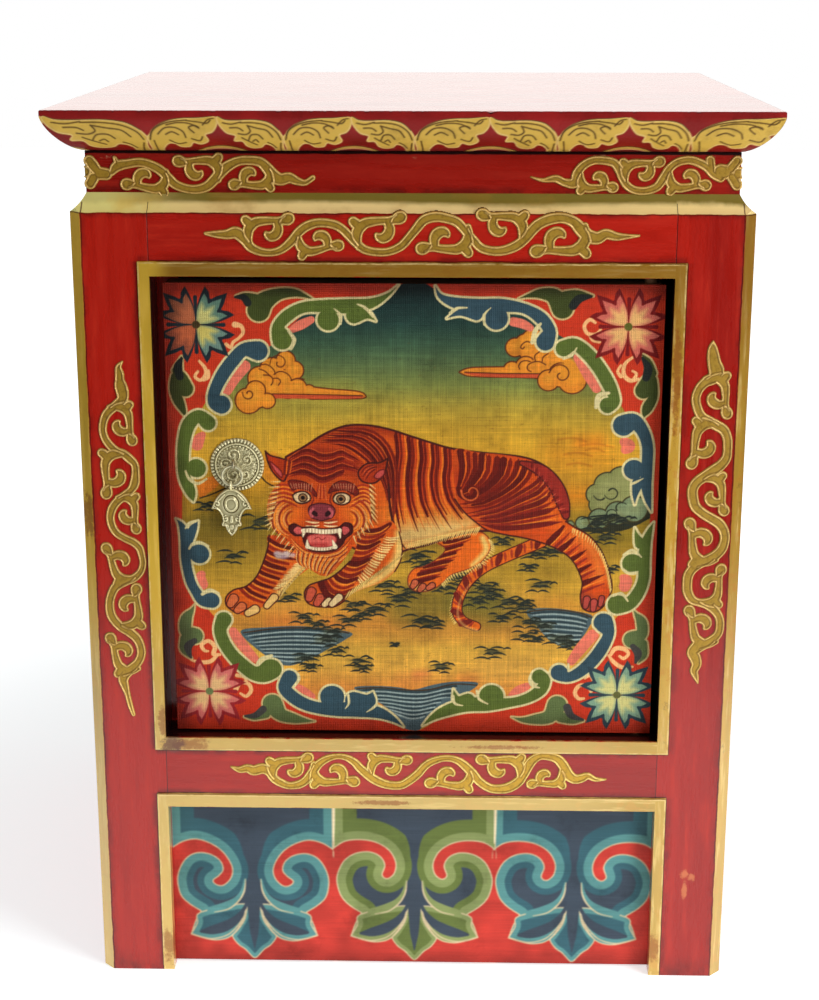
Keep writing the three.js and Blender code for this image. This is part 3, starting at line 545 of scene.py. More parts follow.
def paint_haunch(p):
    """The near haunch with its whorl, and the hind leg down to its paw at the right."""
    haunch = [(190, 200), (205, 198), (222, 196.5), (240, 193), (252, 186), (258, 176), (262, 164),
              (264, 152), (270, 147), (280, 141), (288, 131), (293, 119), (296, 106), (294, 98), (290, 91),
              (284, 87.5), (277, 90), (275, 98), (276, 108), (273, 117), (268, 125), (260, 131),
              (250, 135.5), (238, 139), (224, 141.5), (212, 144.5), (203, 151), (196, 158), (191, 168),
              (189, 184)]
    state = shaded(p, haunch, (200, 70, 14), [
        ([(196, 180, 6), (205, 164, 6), (222, 152, 5)], (168, 42, 12), 10),
        ([(232, 166, 6), (252, 158, 6), (262, 146, 4)], FUR_ORANGE, 12),
        ([(272, 142, 4), (284, 128, 3), (288, 112, 3)], (226, 120, 40), 8),
        ([(287, 134, 1.4), (293, 120, 1.6), (295.5, 106, 1.4)], FUR_CREAM, 2.5),
        ([(278, 96, 4), (284, 92, 3)], (150, 52, 44), 6),
    ], None)
    p.hatch([(192, 200), (194, 190), (194, 180), (191, 172)],
            [(243, 192), (240, 181), (229, 170), (211, 161), (194, 160)],
            [FUR_DARK, (224, 94, 18), (120, 26, 8), (190, 58, 12), (106, 22, 8), (224, 94, 18)],
            [5.4, 1.0, 2.6, 1.0, 4.2, 1.0], 21, 9, 0.2, (0.02, 0.35))
    whorl = [(u, v, r) for u, v, r in spiral((199.5, 172), (7, 1.4), (170, 560), (1.9, 0.7))]
    p.line(whorl, FUR_DARK)
    p.line([(u + 1.6, v - 1.2, 0.35 * r) for u, v, r in whorl], (206, 88, 36))
    p.hatch([(246, 189), (246, 180), (236, 172), (218, 161), (197, 156)],
            [(262, 150), (248, 148), (232, 146), (219, 146), (207, 149)],
            [(110, 24, 14), FUR_ORANGE, (140, 34, 18), FUR_LIGHT], [4.2, 1.0, 2.4, 1.0], 17, 10, 0.2,
            (0.2, 0.3))
    p.hatch([(252, 136), (258, 143), (264, 151)], [(275, 100), (284, 104), (295, 108)],
            [FUR_DARK, FUR_LIGHT, (140, 36, 20), FUR_LIGHT], [4.4, 1.0, 2.4, 0.9], 19, 11, 0.2, (0.02, 0.6))
    p.mask = state[0]
    p.leaf([[(234, 191, 1.5), (247, 186, 4), (256.5, 176, 4.6), (261.5, 165, 4.4), (264, 155, 2.4)]],
           (150, 38, 26), TIGER_LINE, 1)
    p.hatch([(240, 194), (240, 188)], [(266.5, 157), (261, 156)], [(112, 24, 18), (190, 74, 50)],
            [1.7, 0.6], 15)
    upper = [(190, 166), (196, 157.5), (203, 151), (212, 144.5), (224, 141.5), (238, 139), (250, 135.5),
             (260, 131), (268, 125), (273, 117), (276, 108), (275, 98), (277, 90), (284, 87.5), (290, 91),
             (294, 98), (296, 106), (293, 119), (288, 131), (280, 141), (270, 147), (264, 151)]
    p.line(upper, TIGER_LINE, 1.1)
    fringe(p, [(269, 146), (279.5, 140), (287.5, 130.5), (292.6, 118.5), (295.4, 104)], (-0.6, -3.2))
    toes(p, [(279, 94, 2.6, 2.4, 80), (284, 92, 2.6, 2.4, 85), (289, 95, 2.4, 2, 80)], (176, 66, 54))


def paint_near_legs(p):
    """The two front legs with their paws."""
    left = [(66, 140), (65, 132), (62, 122), (57, 111), (50, 104), (41, 101), (36, 96), (36, 90),
            (41, 85.5), (48, 83), (54, 83), (60, 89), (68, 91), (74, 100), (81, 108), (90, 115), (94, 120),
            (90, 128), (84, 136)]
    state = shaded(p, left, (208, 84, 18),
                   [([(90, 122, 2.4), (78, 107, 2.2), (68, 95, 2)], FUR_CREAM, 3),
                    ([(70, 137, 4), (64, 122, 3), (52, 104, 3)], (176, 50, 12), 7)], None)
    p.hatch([(64, 139), (74, 133), (92, 130)], [(42, 103), (50, 94), (64, 88)],
            [FUR_DARK, FUR_LIGHT, (140, 34, 10), FUR_ORANGE], [3.4, 1.1, 2.4, 1.0], 24, 12, 0.2,
            (0.05, 0.4))
    p.hatch([(93, 124), (87, 121), (82, 120)], [(74, 103), (70, 101), (66, 101)],
            [(240, 206, 128), (170, 96, 44)], [1.0, 0.6], 30, 14, 0.3, (0.1, 0.5))
    close_shape(p, state)
    p.line([(66, 140), (65, 132), (62, 122), (57, 111), (50, 104), (41, 101), (36, 96), (36, 90),
            (41, 85.5)], TIGER_LINE, 1.1)
    p.hatch([(94, 121), (84, 113)], [(74, 101), (70, 92)], [FUR_CREAM, (120, 84, 40)], [0.8, 0.6], 26,
            ends=(0.05, 0.5))
    for u, v, r, shade in ((72, 126, 2.6, (196, 178, 170)), (77, 126.6, 2.4, (206, 190, 184)),
                           (81, 126, 1.6, (198, 166, 158)), (75, 124.6, 1.4, (178, 142, 150)),
                           (70, 127.4, 1.2, (188, 160, 160))):
        p.line([(u, v, r), (u + 0.8, v, r)], shade, soft=1.4, strength=0.85)
    toes(p, [(40, 93, 2.2, 3.4, 60), (45, 88, 2, 3.2, 40)], (206, 100, 52))
    toes(p, [(53, 86, 2.8, 3.2, 30), (66, 93, 4, 2.8, 50)], (224, 176, 100))
    right = [(126, 147), (137, 147), (147, 151), (153, 143), (155, 133), (154, 123), (150, 115),
             (141, 107.5), (131, 103.5), (121, 99), (116, 94), (110, 90), (103, 89.5), (96, 90), (90.5, 93),
             (89, 99), (92, 104.5), (99, 107.5), (106, 110), (113, 115), (120, 122), (124, 131), (125, 140)]
    state = shaded(p, right, (210, 86, 18),
                   [([(153, 142, 2.6), (152, 124, 3.4), (139, 110, 2.6), (122, 101, 1.6)], FUR_CREAM, 3.5),
                    ([(126, 138, 3), (120, 122, 3), (102, 104, 3)], (172, 48, 14), 6)], None)
    p.hatch([(124, 147), (134, 144), (143, 146), (150, 152)], [(99, 108), (103, 98), (111, 94), (120, 98)],
            [FUR_DARK, FUR_LIGHT, (140, 34, 10), FUR_ORANGE, (124, 28, 10), FUR_LIGHT],
            [4.2, 1.1, 2.4, 1.0, 3.4, 1.0], 25, 13, 0.2, (0.02, 0.3))
    p.hatch([(154, 140), (148, 139), (143, 140)], [(128, 103), (126, 106), (124, 109)],
            [(240, 206, 128), (170, 96, 44)], [1.0, 0.6], 40, 16, 0.3, (0.1, 0.5))
    close_shape(p, state)
    p.line([(153, 143), (155, 133), (154, 123), (150, 115)], TIGER_LINE, 0.9)
    p.line([(116, 94), (110, 90), (103, 89.5), (96, 90), (90.5, 93), (89, 99), (92, 104.5), (99, 107.5),
            (106, 110), (113, 115), (120, 122)], TIGER_LINE, 1.1)
    p.hatch([(157, 128), (150, 121)], [(118, 100), (115, 94)], [FUR_CREAM, (120, 84, 40)], [0.8, 0.5], 34,
            ends=(0.3, 0.3))
    toes(p, [(93, 98, 2.6, 3.2, 70), (98.5, 94, 2.2, 3, 60)], (190, 76, 50))
    toes(p, [(104, 92.5, 2, 2.6, 40), (110, 94, 3.4, 2.8, 45)], (224, 190, 132))


def paint_ear(p, shape, inner):
    """An ear with its red inside."""
    state = shaded(p, shape, FUR_RED, [])
    close_shape(p, state)
    p.fill(inner, (196, 74, 66), (110, 26, 20), 0.9)


def paint_face(p):
    """The head: soft patches, stripes, whiskered cheeks, eyes, mouth and ears."""
    head = [(78, 192), (88, 199), (101, 203), (114, 202), (124, 196), (131, 188), (134, 178), (136, 168),
            (137, 158), (135, 150), (130, 143.5), (124, 139), (121, 131), (115, 122), (108, 114),
            (103, 111.5), (97, 113.5), (90, 120), (84, 127), (80, 134), (74, 139), (68, 145), (65.5, 152),
            (65, 160), (67, 168), (71, 174), (75, 178), (76, 185)]
    state = shaded(p, head, (196, 70, 12), [
        ([(82, 190, 8), (101, 195, 8), (122, 190, 8)], (150, 40, 12), 12),
        ([(71, 166, 3), (69, 156, 4), (72, 147, 3)], (220, 170, 96), 6),
        ([(135, 168, 3), (135, 156, 3), (128, 146, 2)], (216, 160, 88), 6),
        ([(84, 156, 6), (80, 148, 4)], (220, 100, 22), 8),
        ([(120, 156, 6), (124, 148, 4)], (220, 100, 22), 8),
        ([(96, 120, 4), (106, 118, 4)], (210, 116, 52), 8),
    ], None)
    wave = [(80, 180), (88, 182.5), (95, 180), (101, 176.5), (107, 178), (115, 182), (126, 180)]
    crown = [(80, 194), (88, 200), (95, 201), (101, 198), (108, 198), (116, 200), (127, 193)]
    p.hatch(wave, crown, [(134, 30, 12), (206, 78, 22), (100, 20, 10), (210, 82, 26)], [2.2, 0.8, 3.6, 0.8],
            16, 15, 0.2, (0.15, 0.15))
    p.hatch([(99, 176), (98, 170), (97, 164)], [(104, 176), (104.5, 170), (105, 164)],
            [(150, 38, 18), (222, 104, 50)], [0.9, 0.7], 6)
    for side, centre in ((-1, (83.5, 151)), (1, (119, 151))):
        for i in range(9):
            radius = 4.5 + 1.55 * i
            start, end = (105, 250) if side < 0 else (75, -70)
            tint = (FUR_LIGHT, (140, 38, 18), (222, 140, 66))[i % 3]
            points = arc(centre, radius, start, end, 8)
            p.line([(u, v, 0.2 + 0.45 * math.sin(math.pi * k / 7)) for k, (u, v) in enumerate(points)],
                   tint)
    p.hatch([(66, 172), (76, 176), (86, 173)], [(66, 160), (76, 163), (86, 159)],
            [(158, 42, 20), FUR_LIGHT], [1.1, 0.8], 9)
    p.hatch([(136, 174), (128, 176), (120, 172)], [(137, 158), (130, 164), (120, 159)],
            [(158, 42, 20), FUR_LIGHT], [1.1, 0.8], 9)
    p.hatch([(80, 140), (88, 131), (101, 127.5), (114, 131), (122, 141)],
            [(82, 131), (90, 122), (101, 119), (112, 121), (120, 128)],
            [(140, 40, 18), FUR_LIGHT, (226, 150, 76)], [1.3, 0.9, 0.8], 9, 17, 0.1, (0.2, 0.2))
    p.mask = state[0]
    p.hatch([(84, 130), (84, 122), (88, 118)], [(114, 124), (108, 117), (104, 110)],
            [(216, 160, 90), (136, 42, 18), FUR_LIGHT], [0.8, 1.0, 1.1], 26, 18, 0.3, (0.15, 0.3))
    for first, last, count in (([(74, 178), (67, 178)], [(67, 146), (62, 143)], 18),
                               ([(67, 148), (64, 143)], [(84, 130), (80, 125)], 12),
                               ([(133, 177), (138, 173)], [(135, 152), (139, 146)], 14),
                               ([(134, 152), (137, 146)], [(122, 139), (124, 133)], 9)):
        p.hatch(first, last, [(226, 190, 120), (84, 50, 22)], [0.85, 0.6], count, ends=(0.05, 0.6))
    paint_eyes(p)
    paint_mouth(p)
    paint_ear(p,
              [(64.5, 198), (64.5, 198), (68, 195), (74, 193.4), (80, 191.5), (80, 191.5), (79, 184),
               (77, 178), (74, 178.5), (69, 184), (66, 191)],
              [(67, 191), (70, 189), (75, 184), (75, 180), (71, 184)])
    paint_ear(p,
              [(145.5, 193.5), (145.5, 193.5), (140, 190.6), (132, 190), (127, 186), (126, 182),
               (129, 177.5), (136, 176.5), (141, 180), (144, 185)],
              [(136.5, 181), (139, 184.5), (143, 186), (143, 182.5), (139.5, 179.5)])
    p.hatch([(77, 193), (76, 180)], [(83, 192), (81, 182)], [(110, 26, 16), FUR_ORANGE], [1.6, 0.8], 4)
    p.hatch([(127, 183), (131, 188), (138, 189)], [(131, 178), (134, 183), (139, 187)],
            [(112, 26, 16), (200, 76, 38)], [1.0, 0.7], 5)


def paint_eyes(p):
    """Lids, irises and pupils, the brows and the sides of the nose."""
    left_lids = [(-6.2, 1.8), (-2, 4.2), (2.4, 4), (5.4, 1), (4.8, -2), (0, -4), (-4.6, -2.6)]
    right_lids = [(-5.4, 1), (-2.8, 3.8), (2, 4.2), (5.8, 1.8), (5, -2.2), (0, -4), (-4.6, -2.2)]
    for u, v, flip, lids in ((88.6, 166.1, 1, left_lids), (114.6, 165.4, -1, right_lids)):
        p.fill([(u + right, v + up) for right, up in lids], (222, 186, 136), (60, 22, 14), 1.1)
        for radius, tint in ((3.2, (60, 32, 20)), (2.4, (150, 104, 62)), (1.4, (30, 16, 12))):
            p.line([(u + 0.3 * flip, v, radius), (u + 0.4 * flip, v, radius)], tint)
    brows = [([(79.5, 177.5), (86, 178), (93, 175.5), (97.5, 170), (97.5, 167), (93, 171), (86, 172.5),
               (82, 171.5)], (80, 96)),
             ([(106, 169.5), (109, 175), (115, 178), (122, 176), (126, 171), (124, 168), (117, 171.6),
               (110, 170.8)], (108, 124))]
    for shape, (left, right) in brows:
        p.fill(shape, (122, 30, 18), (84, 20, 14), 0.8)
        p.hatch([(left, 176), (left + 1.5, 172)], [(right, 176), (right - 1, 170)], [(206, 130, 90)],
                [0.55], 9, ends=(0.1, 0.5))
    p.line([(95, 170), (96, 165), (94, 160)], (120, 30, 18), 0.9)
    p.line([(108, 169), (107, 164), (109, 160)], (120, 30, 18), 0.9)


def paint_mouth(p):
    """The nose, the whisker lines and the open mouth with its tongue and teeth."""
    p.fill([(92.4, 157.5), (94.5, 161), (101, 162.4), (107.5, 161), (110.4, 157.5), (108.4, 152.8),
            (104, 151), (101, 150.2), (98, 151), (94.4, 152.6)], (128, 46, 52), (70, 18, 20), 0.9)
    for u, flip in ((95.6, -1), (106.6, 1)):
        p.line([(u + flip * 0.8, 153.2, 1), (u + flip * 1.6, 156, 1.2), (u, 158.6, 0.8)], (190, 84, 86))
        p.fill([(u + 2.4 * -flip, 153), (u - flip * 3, 155.5), (u - flip * 0.6, 157.4),
                (u + flip * 0.9, 155)], (44, 14, 16))
    for flip, centre in ((-1, 100.6), (1, 101.8)):
        for i in range(4):
            p.line([(centre + flip * 1.2, 150 - i, 0.3), (centre + flip * 5, 150.2 - 1.3 * i, 0.55),
                    (centre + flip * 10, 151.5 - 1.6 * i, 0.2)],
                   (238, 206, 150) if i % 2 else (150, 48, 28))
    p.fill([(79.5, 146), (83, 148), (88, 145.6), (94, 146), (101, 144.6), (108, 145), (113, 146),
            (117, 149), (121.5, 147.5), (121.5, 142), (117, 138), (115, 134), (110.5, 130), (104, 128.6),
            (97, 128.6), (92, 130.4), (89.4, 134.5), (88, 139.4), (83.5, 139.8), (80, 142.5)], (74, 18, 16),
           (60, 16, 12), 1)
    p.fill([(82.4, 143.5), (85, 146), (88, 144.4), (87.6, 141.4), (84.4, 141)], (206, 84, 78))
    p.fill([(115.2, 146), (119, 145.6), (119.6, 143), (116, 140.6)], (200, 76, 72))
    p.fill([(91.5, 138.6), (96, 140.6), (107, 140.4), (111, 138), (109, 133.4), (103, 131.6), (96, 132),
            (92.6, 135)], (212, 92, 80), (150, 40, 36), 0.7)
    p.line([(96, 137.4), (99, 138.8), (101, 137), (104, 138.6)], (150, 36, 34), 0.6)
    p.line([(95, 133.6, 1), (104, 133.4, 1)], (168, 44, 40), soft=2)
    teeth = (238, 216, 172)
    p.line([(88.6, 143.4, 1.2), (95, 143.4, 1.6), (101, 142.6, 1.6), (108, 142.8, 1.6),
            (113.4, 143.6, 1.3)], teeth)
    p.line([(92.4, 131.6, 0.9), (97, 130.6, 1.1), (104, 130.6, 1.1), (110, 132, 0.9)], teeth)
    for root, tip in (((89.4, 143), (88.6, 139)), ((113, 143.6), (113.6, 138.4)),
                      ((91.6, 132), (91.4, 136.6)), ((110.2, 132), (108.4, 136.6))):
        p.line([(*root, 1.5), (*tip, 0.4)], teeth)
    for first, pitch, count, top, bottom in ((90.5, 2.1, 11, 144.4, 141.4), (94.5, 1.9, 8, 131.4, 129.6)):
        for i in range(count):
            u = first + pitch * i
            p.line([(u, top), (u, bottom)], (150, 96, 70), 0.4)


# Leaves of the cartouche, green and blue in turn, as strokes of (right, up, radius)
LEAVES = [
    [[(27, 217, 5.8), (21, 221.5, 4.8), (14.5, 216, 5.2), (11, 205, 4.8), (9.8, 192, 4.6), (10.5, 180, 4.6),
      (14, 170, 4.2), (15.8, 163, 0.8)], dot(18.4, 186, 7)],
    [[(3.6, 151, 0.5), (7.5, 146, 2.8), (10.5, 135, 5), (9.6, 122, 4), (12, 108, 4), (15.5, 100, 4),
      (20, 94, 5), (26, 93.6, 6.2)],
     dot(18.6, 126.4, 7.4),
     [(18.6, 149.4, 0.6), (15, 144, 3.4), (12, 137, 4)]],
    [[(34, 80, 6), (31.4, 73, 5), (33, 65, 5), (38, 56, 5), (45, 48, 5.4), (53, 41.6, 5.8), (60, 41, 7),
      (65.4, 44.4, 8)]],
    [[(78, 38.4, 6), (74.6, 31, 5.2), (79, 25, 5.2), (87, 19.6, 5.2), (97, 16.4, 5), (110, 15.4, 5.8),
      (124, 15.4, 6.2), (138, 13.4, 5), (148, 9, 3), (156, 3, 0.6)],
     dot(107, 24.4, 9),
     [(122, 22, 7), (131, 20.6, 6.4), (135, 28.6, 0.6)]],
    [[(169, 4, 0.6), (176, 10, 2.8), (185, 15, 4.6), (199, 19.4, 5.6), (214, 20.4, 5.8), (229, 21.6, 4),
      (241, 25, 4.2), (249.5, 31, 4.8), (252.6, 38, 4.2), (248.6, 40.6, 6)],
     dot(216, 26, 9),
     [(190, 31, 0.6), (193, 23, 3.6), (200, 23, 5.6)]],
    [[(262, 43.6, 6.6), (268, 40.6, 4.4), (275, 43.6, 4.6), (283, 51, 5), (290, 61, 5), (294.6, 72, 4.6),
      (291, 80, 7.4)]],
    [[(300, 93, 7.4), (308, 94, 5.4), (314, 102, 4.8), (317, 112, 4.4), (316.6, 124, 4.8), (317.6, 136, 4),
      (320, 145, 2.4), (322.4, 151, 0.5)],
     dot(309, 122, 7.4),
     [(314, 136, 4.4), (311.4, 141.6, 2.2), (310, 147, 0.6)]],
    [[(300.4, 217, 7.8), (307, 219.6, 5.8), (313, 213, 4.8), (316.4, 203, 4.4), (316.6, 190, 4.4),
      (316.4, 178, 4.4), (318, 167, 3), (320.6, 158, 0.6)],
     dot(308, 187, 7.4),
     [(311, 178, 4.6), (309.4, 170, 2.6), (309.4, 163, 0.6)]],
    [[(260, 268, 6), (267, 270.6, 4.8), (275, 265, 5), (283, 255.6, 5), (290, 244, 5), (294, 233.6, 4.2),
      (289.6, 230.4, 6)]],
    [[(176.4, 308.6, 0.6), (180, 301.6, 2.4), (190, 297.4, 4.4), (205, 295.4, 5.6), (220, 296, 5),
      (234, 294, 4), (244.6, 288, 4.8), (250.4, 279.6, 4.8), (248, 272.4, 6.6)],
     dot(216, 287.6, 8.2),
     [(184, 287.4, 0.6), (193, 291.4, 3), (203, 290.4, 5)]],
    [[(77, 273, 7.4), (74.6, 281, 4.6), (80.6, 288.4, 4.6), (91, 294, 4.2), (105, 295, 4.8),
      (120, 295, 5.4), (135, 297, 4), (146, 302.6, 1.8), (153, 309.4, 0.5)],
     dot(107, 286, 7.6),
     [(124, 289, 6), (132, 289.6, 3.4), (138, 285.4, 0.6)]],
    [[(61, 265.4, 7.2), (52, 266, 5), (44.4, 258.6, 5), (37.4, 249, 5), (32, 238, 4.6), (31.6, 231, 5),
      (36, 229.4, 7)]],
]
# Cream crescents that cross the leaves
CRESCENTS = [
    [(11.2, 184, 0.6), (13.4, 178.6, 1), (19, 175.4, 1), (25, 178.6, 0.7)],
    [(12, 130, 0.7), (14.4, 133.4, 1), (19.4, 134.6, 0.9), (25, 132, 0.7)],
    [(10, 144.4, 0.6), (12.6, 148, 0.9), (18.8, 150, 0.7)],
    [(137.6, 19.6, 0.8), (135, 16.6, 0.9), (130.6, 13.6, 0.3)],
    [(116, 16, 0.3), (118.4, 20, 0.8), (118, 26, 0.9)],
    [(206, 30, 0.8), (207.6, 24, 0.9), (213.6, 20.4, 0.5)],
    [(190, 26, 0.8), (191, 20.6, 0.9), (196.4, 19, 0.4)],
    [(297, 99, 0.7), (302.6, 100.8, 1), (307, 95.4, 0.5)],
    [(303, 128, 0.7), (309, 131.4, 1), (315, 126.6, 0.5)],
    [(303.4, 118, 0.7), (307, 115.2, 1), (313, 116.4, 0.4)],
    [(306.6, 177, 0.7), (309.6, 178.4, 0.9), (314.4, 181, 0.3)],
    [(260, 261, 0.6), (265.4, 263.6, 0.9), (268.4, 268.4, 0.4)],
    [(282, 229, 1.2), (283.4, 236.6, 1.6), (290, 238.6, 1)],
    [(239.6, 272, 1.4), (241.4, 279.6, 1.6), (244.6, 284, 0.9)],
    [(212.4, 294.4, 0.3), (208.4, 290, 0.8), (208.4, 283.4, 0.8)],
    [(186, 291, 0.8), (190.6, 294, 0.9), (197, 294.4, 0.5)],
    [(126, 296.4, 0.4), (131, 294.2, 1), (136.4, 288.4, 1)],
    [(111, 293.4, 0.3), (115.4, 289, 0.9), (115, 283.4, 0.8)],
    [(81, 278.4, 0.6), (84.8, 273, 1.4), (82.6, 267, 1.2)],
    [(244, 44.6, 0.5), (242, 39.4, 1), (243.6, 34.4, 1.1), (248.6, 32.6, 0.5)],
    [(20, 98, 1.2), (25, 100.8, 1.3), (30.8, 98.4, 1)],
    [(268, 50, 0.7), (268.4, 45, 0.9)],
    [(56, 48, 0.9), (59, 52, 1.1), (66, 54.2, 1)],
    [(80.6, 31, 0.6), (84.2, 36.6, 1), (84, 41, 0.8)],
]
# Corner leaves outside the cartouche, the upper four first: strokes of the green part, then the dark comma
CORNERS = [
    ([[(62, 292, 7.8), (66, 298, 6.6), (75, 302.6, 4.4), (85, 303.6, 3.2), (93, 301.4, 1.6),
       (99, 298.6, 0.5)], [(62, 297, 6), (54, 301, 3), (47.6, 301.2, 0.8)]],
     [(47, 300.6, 0.8), (52.4, 300.4, 2.2), (55, 297, 2.6)]),
    ([[(12.6, 240, 6), (8.6, 248, 5), (5.4, 240, 3.6), (8, 232, 4), (11, 225, 2.4), (12.4, 220.6, 0.5)],
      [(8, 252, 4), (11, 261, 1)]], [(11, 260, 1), (8.4, 254.4, 2.8), (9.4, 248, 2.6)]),
    ([[(258.6, 294.6, 7.6), (253, 302, 5.6), (244.6, 303.8, 3.8), (236.6, 302.4, 1.8), (230, 300.4, 0.5)],
      [(260, 300.6, 5.4), (268, 303.6, 3.2), (278, 302.6, 0.8)]],
     [(277, 302, 0.9), (269.4, 300.6, 2.8), (265.4, 296, 2.8)]),
    ([[(312.6, 240.4, 6), (316.6, 247.4, 4.8), (319, 237, 3.6), (315.6, 229, 4), (313.4, 223.6, 1.6),
       (312.4, 220, 0.5)], [(317, 252, 4.2), (315, 259.6, 2.6), (310.4, 264.6, 0.8)]],
     [(311, 262, 0.9), (315, 255.4, 2.8), (314, 249, 2.6)]),
    ([[(13.6, 68, 6.4), (8, 71.6, 4.8), (8.4, 80, 4.4), (12.6, 86.6, 1.8), (14.4, 90.4, 0.5)],
      [(7.6, 66, 4.2), (6, 58, 3), (11, 51.6, 0.9)]], [(13.6, 64.4, 2), (9, 60, 2.8), (10.6, 52.6, 1)]),
    ([[(66, 19, 7.4), (71, 11.6, 5.4), (79.6, 8.6, 4.2), (88, 7, 2.2), (95, 6.4, 0.5)],
      [(61, 11.6, 3.8), (53, 8.4, 2), (46.6, 9.2, 0.8)]],
     [(59.4, 15, 2.6), (54, 10.4, 2.2), (47, 9.8, 0.9)]),
    ([[(261, 20, 7.2), (256, 11.6, 5.4), (246, 9.4, 4), (237.4, 9, 2.2), (230, 11, 0.5)],
      [(264, 11.4, 4.6), (272, 8.6, 2.8), (279.4, 8.6, 0.8)]],
     [(268, 18.4, 2.8), (271, 12.4, 2.4), (279, 9.4, 0.9)]),
    ([[(311, 68, 6.6), (317, 72.4, 4.4), (316.6, 80.6, 4), (312.6, 86.4, 1.6), (311, 89.6, 0.5)],
      [(317.6, 65, 4), (319, 57, 2.8), (315.6, 51.4, 0.9)]],
     [(311.4, 63, 2), (315, 58, 2.8), (313.6, 51.6, 1)]),
]
# Pink patches between the leaves, and curled tendrils outside the cartouche
PINK_PATCHES = [
    [(40, 239, 3.6), (45, 247, 4), (52, 255, 4)],
    [(19.4, 202, 4), (21, 206, 3.6), (23.4, 209, 2)],
    [(20, 105, 4), (19, 110, 3.4), (20, 112, 2.6)],
    [(40, 71, 3.4), (46, 62, 3.8), (54, 52, 3.2)],
    [(84, 31, 2.6), (88, 27.6, 3.6), (93, 24.6, 2.6)],
    [(230, 27, 2.4), (235, 30, 4), (240, 33.6, 2.6)],
    [(270, 52, 3), (276, 61, 4), (284, 71, 4)],
    [(304.6, 106, 4), (305.4, 110, 4), (303, 112, 2.4)],
    [(301, 206, 3), (304, 203, 4.4), (302, 200.6, 3)],
    [(270, 262, 3.6), (276, 252, 4), (282, 242, 3.4)],
    [(227, 285.4, 3), (233, 284, 3), (238, 281.4, 2.4)],
    [(84, 280, 2.6), (90, 283, 3.2), (96, 286, 2.4)],
]
CURLS = [
    [(46.4, 282.6, 2), (50.4, 281.6, 1.4), (51.6, 277.4, 1.2), (48.6, 273.6, 1), (45, 271, 1),
     (43.4, 267.6, 1.1), (40.4, 269.6, 1.2)],
    [(22.4, 258.4, 0.8), (26, 254, 1.2), (26.4, 249.6, 1.2), (23, 245.6, 1.1), (19.4, 248, 1.1),
     (21.4, 251.4, 0.9)],
    [(28.4, 252, 0.9), (28, 247.6, 1.2), (25, 245.6, 0.9)],
    [(283.6, 280.6, 0.8), (280.4, 277.4, 1.2), (275, 278, 1.2), (273, 283, 1.2), (276.4, 287, 1.2),
     (280, 285, 0.9)],
    [(276.4, 277, 0.9), (278.6, 273.4, 0.9), (283, 272.4, 1)],
    [(309, 248, 1), (303.6, 247, 1.4), (299.4, 251, 1.4), (300, 258, 1.2), (305, 262.4, 0.9)],
    [(306, 247.4, 1.4), (307.6, 251.4, 1), (305, 253.4, 0.7)],
    [(297.6, 249.6, 1.2), (295.4, 253, 1), (297.4, 257, 0.8)],
    [(30.6, 54.6, 1), (26.4, 55, 1.6), (27.4, 60.4, 1.6), (23, 64.4, 1.4), (18.4, 61.4, 1.4),
     (20, 57.6, 1.2), (22.6, 57, 0.8)],
    [(11, 50.4, 0.8), (17, 49, 1.4), (24, 49.6, 1.5), (28.6, 54, 1.2)],
    [(42, 39.6, 1.4), (46.6, 38.4, 1), (48.6, 35, 0.8)],
    [(41, 29.6, 1.8), (44, 34, 1.4), (49.6, 33.6, 1.4), (51.4, 28.6, 1.4), (48, 24.4, 1.2),
     (44, 26.4, 0.8)],
    [(284, 30, 1), (281.4, 34, 1.2), (276, 34.4, 1.4), (273, 29.4, 1.4), (275.4, 25, 1.3), (279, 25, 1)],
    [(279.6, 39.6, 0.7), (283, 41.6, 1), (285, 38.6, 1)],
    [(296.6, 57, 1.2), (299.6, 61.4, 1.6), (305, 61.4, 1.6), (308.6, 58, 1.2), (305.6, 54.4, 1.2),
     (302.6, 56, 0.9)],
    [(295, 56.6, 0.8), (299, 51.6, 1.4), (304.6, 48, 1.4), (311.6, 48.4, 0.8)],
]
# Corner flowers: middle, dark edge, four petals from the upper left clockwise as (middle, pale), and heart
FLOWERS = [
    ((21, 282.4), (30, 40, 46),
     [((150, 84, 56), (178, 96, 60)), ((92, 122, 104), (196, 186, 112)), ((104, 130, 116), (206, 186, 96)),
      ((150, 74, 50), (186, 92, 54))], (70, 54, 26)),
    ((301.4, 282.4), (120, 18, 18), [((206, 100, 84), (226, 170, 104))] * 4, (92, 92, 30)),
    ((22.8, 27.8), (150, 32, 36), [((208, 106, 96), (226, 178, 120))] * 4, (108, 120, 70)),
    ((301.6, 27.8), (44, 62, 70), [((126, 156, 128), (206, 196, 124))] * 4, (98, 96, 50)),
]


def paint_flower(p, centre, dark, petals, heart):
    """Four three-pointed petals on the diagonals, each with a dark edge and a pale middle."""
    half = [(0, 25.5), (8, 20), (14, 17), (21, 20), (29, 22.5), (35, 14), (39, 4)]
    ring = [(-angle, r) for angle, r in half[:0:-1]] + half
    pointed = 22
    for shade, scale, widen, soft in ((0, 1.16, 1.06, 0), (1, 0.95, 1, 0), (2, 0.66, 1, 3)):
        for turn, (middle, pale) in zip((135, 45, -45, -135), petals):
            points = []
            for angle, r in ring:
                a = math.radians(turn + angle * widen)
                point = (centre[0] + scale * r * math.cos(a), centre[1] + scale * r * math.sin(a))
                points += [point] * (2 if r > pointed else 1)
            p.fill(points, (dark, middle, pale)[shade], soft=soft)
    for turn in (0, 90, 180, 270):
        a = math.radians(turn)
        c, s = math.cos(a), math.sin(a)
        p.line([(centre[0] + 3 * c, centre[1] + 3 * s, 0.4), (centre[0] + 10 * c, centre[1] + 10 * s, 0.9),
                (centre[0] + 18 * c, centre[1] + 18 * s, 1.4)], dark)
    p.line(dot(*centre, 2.6), heart)


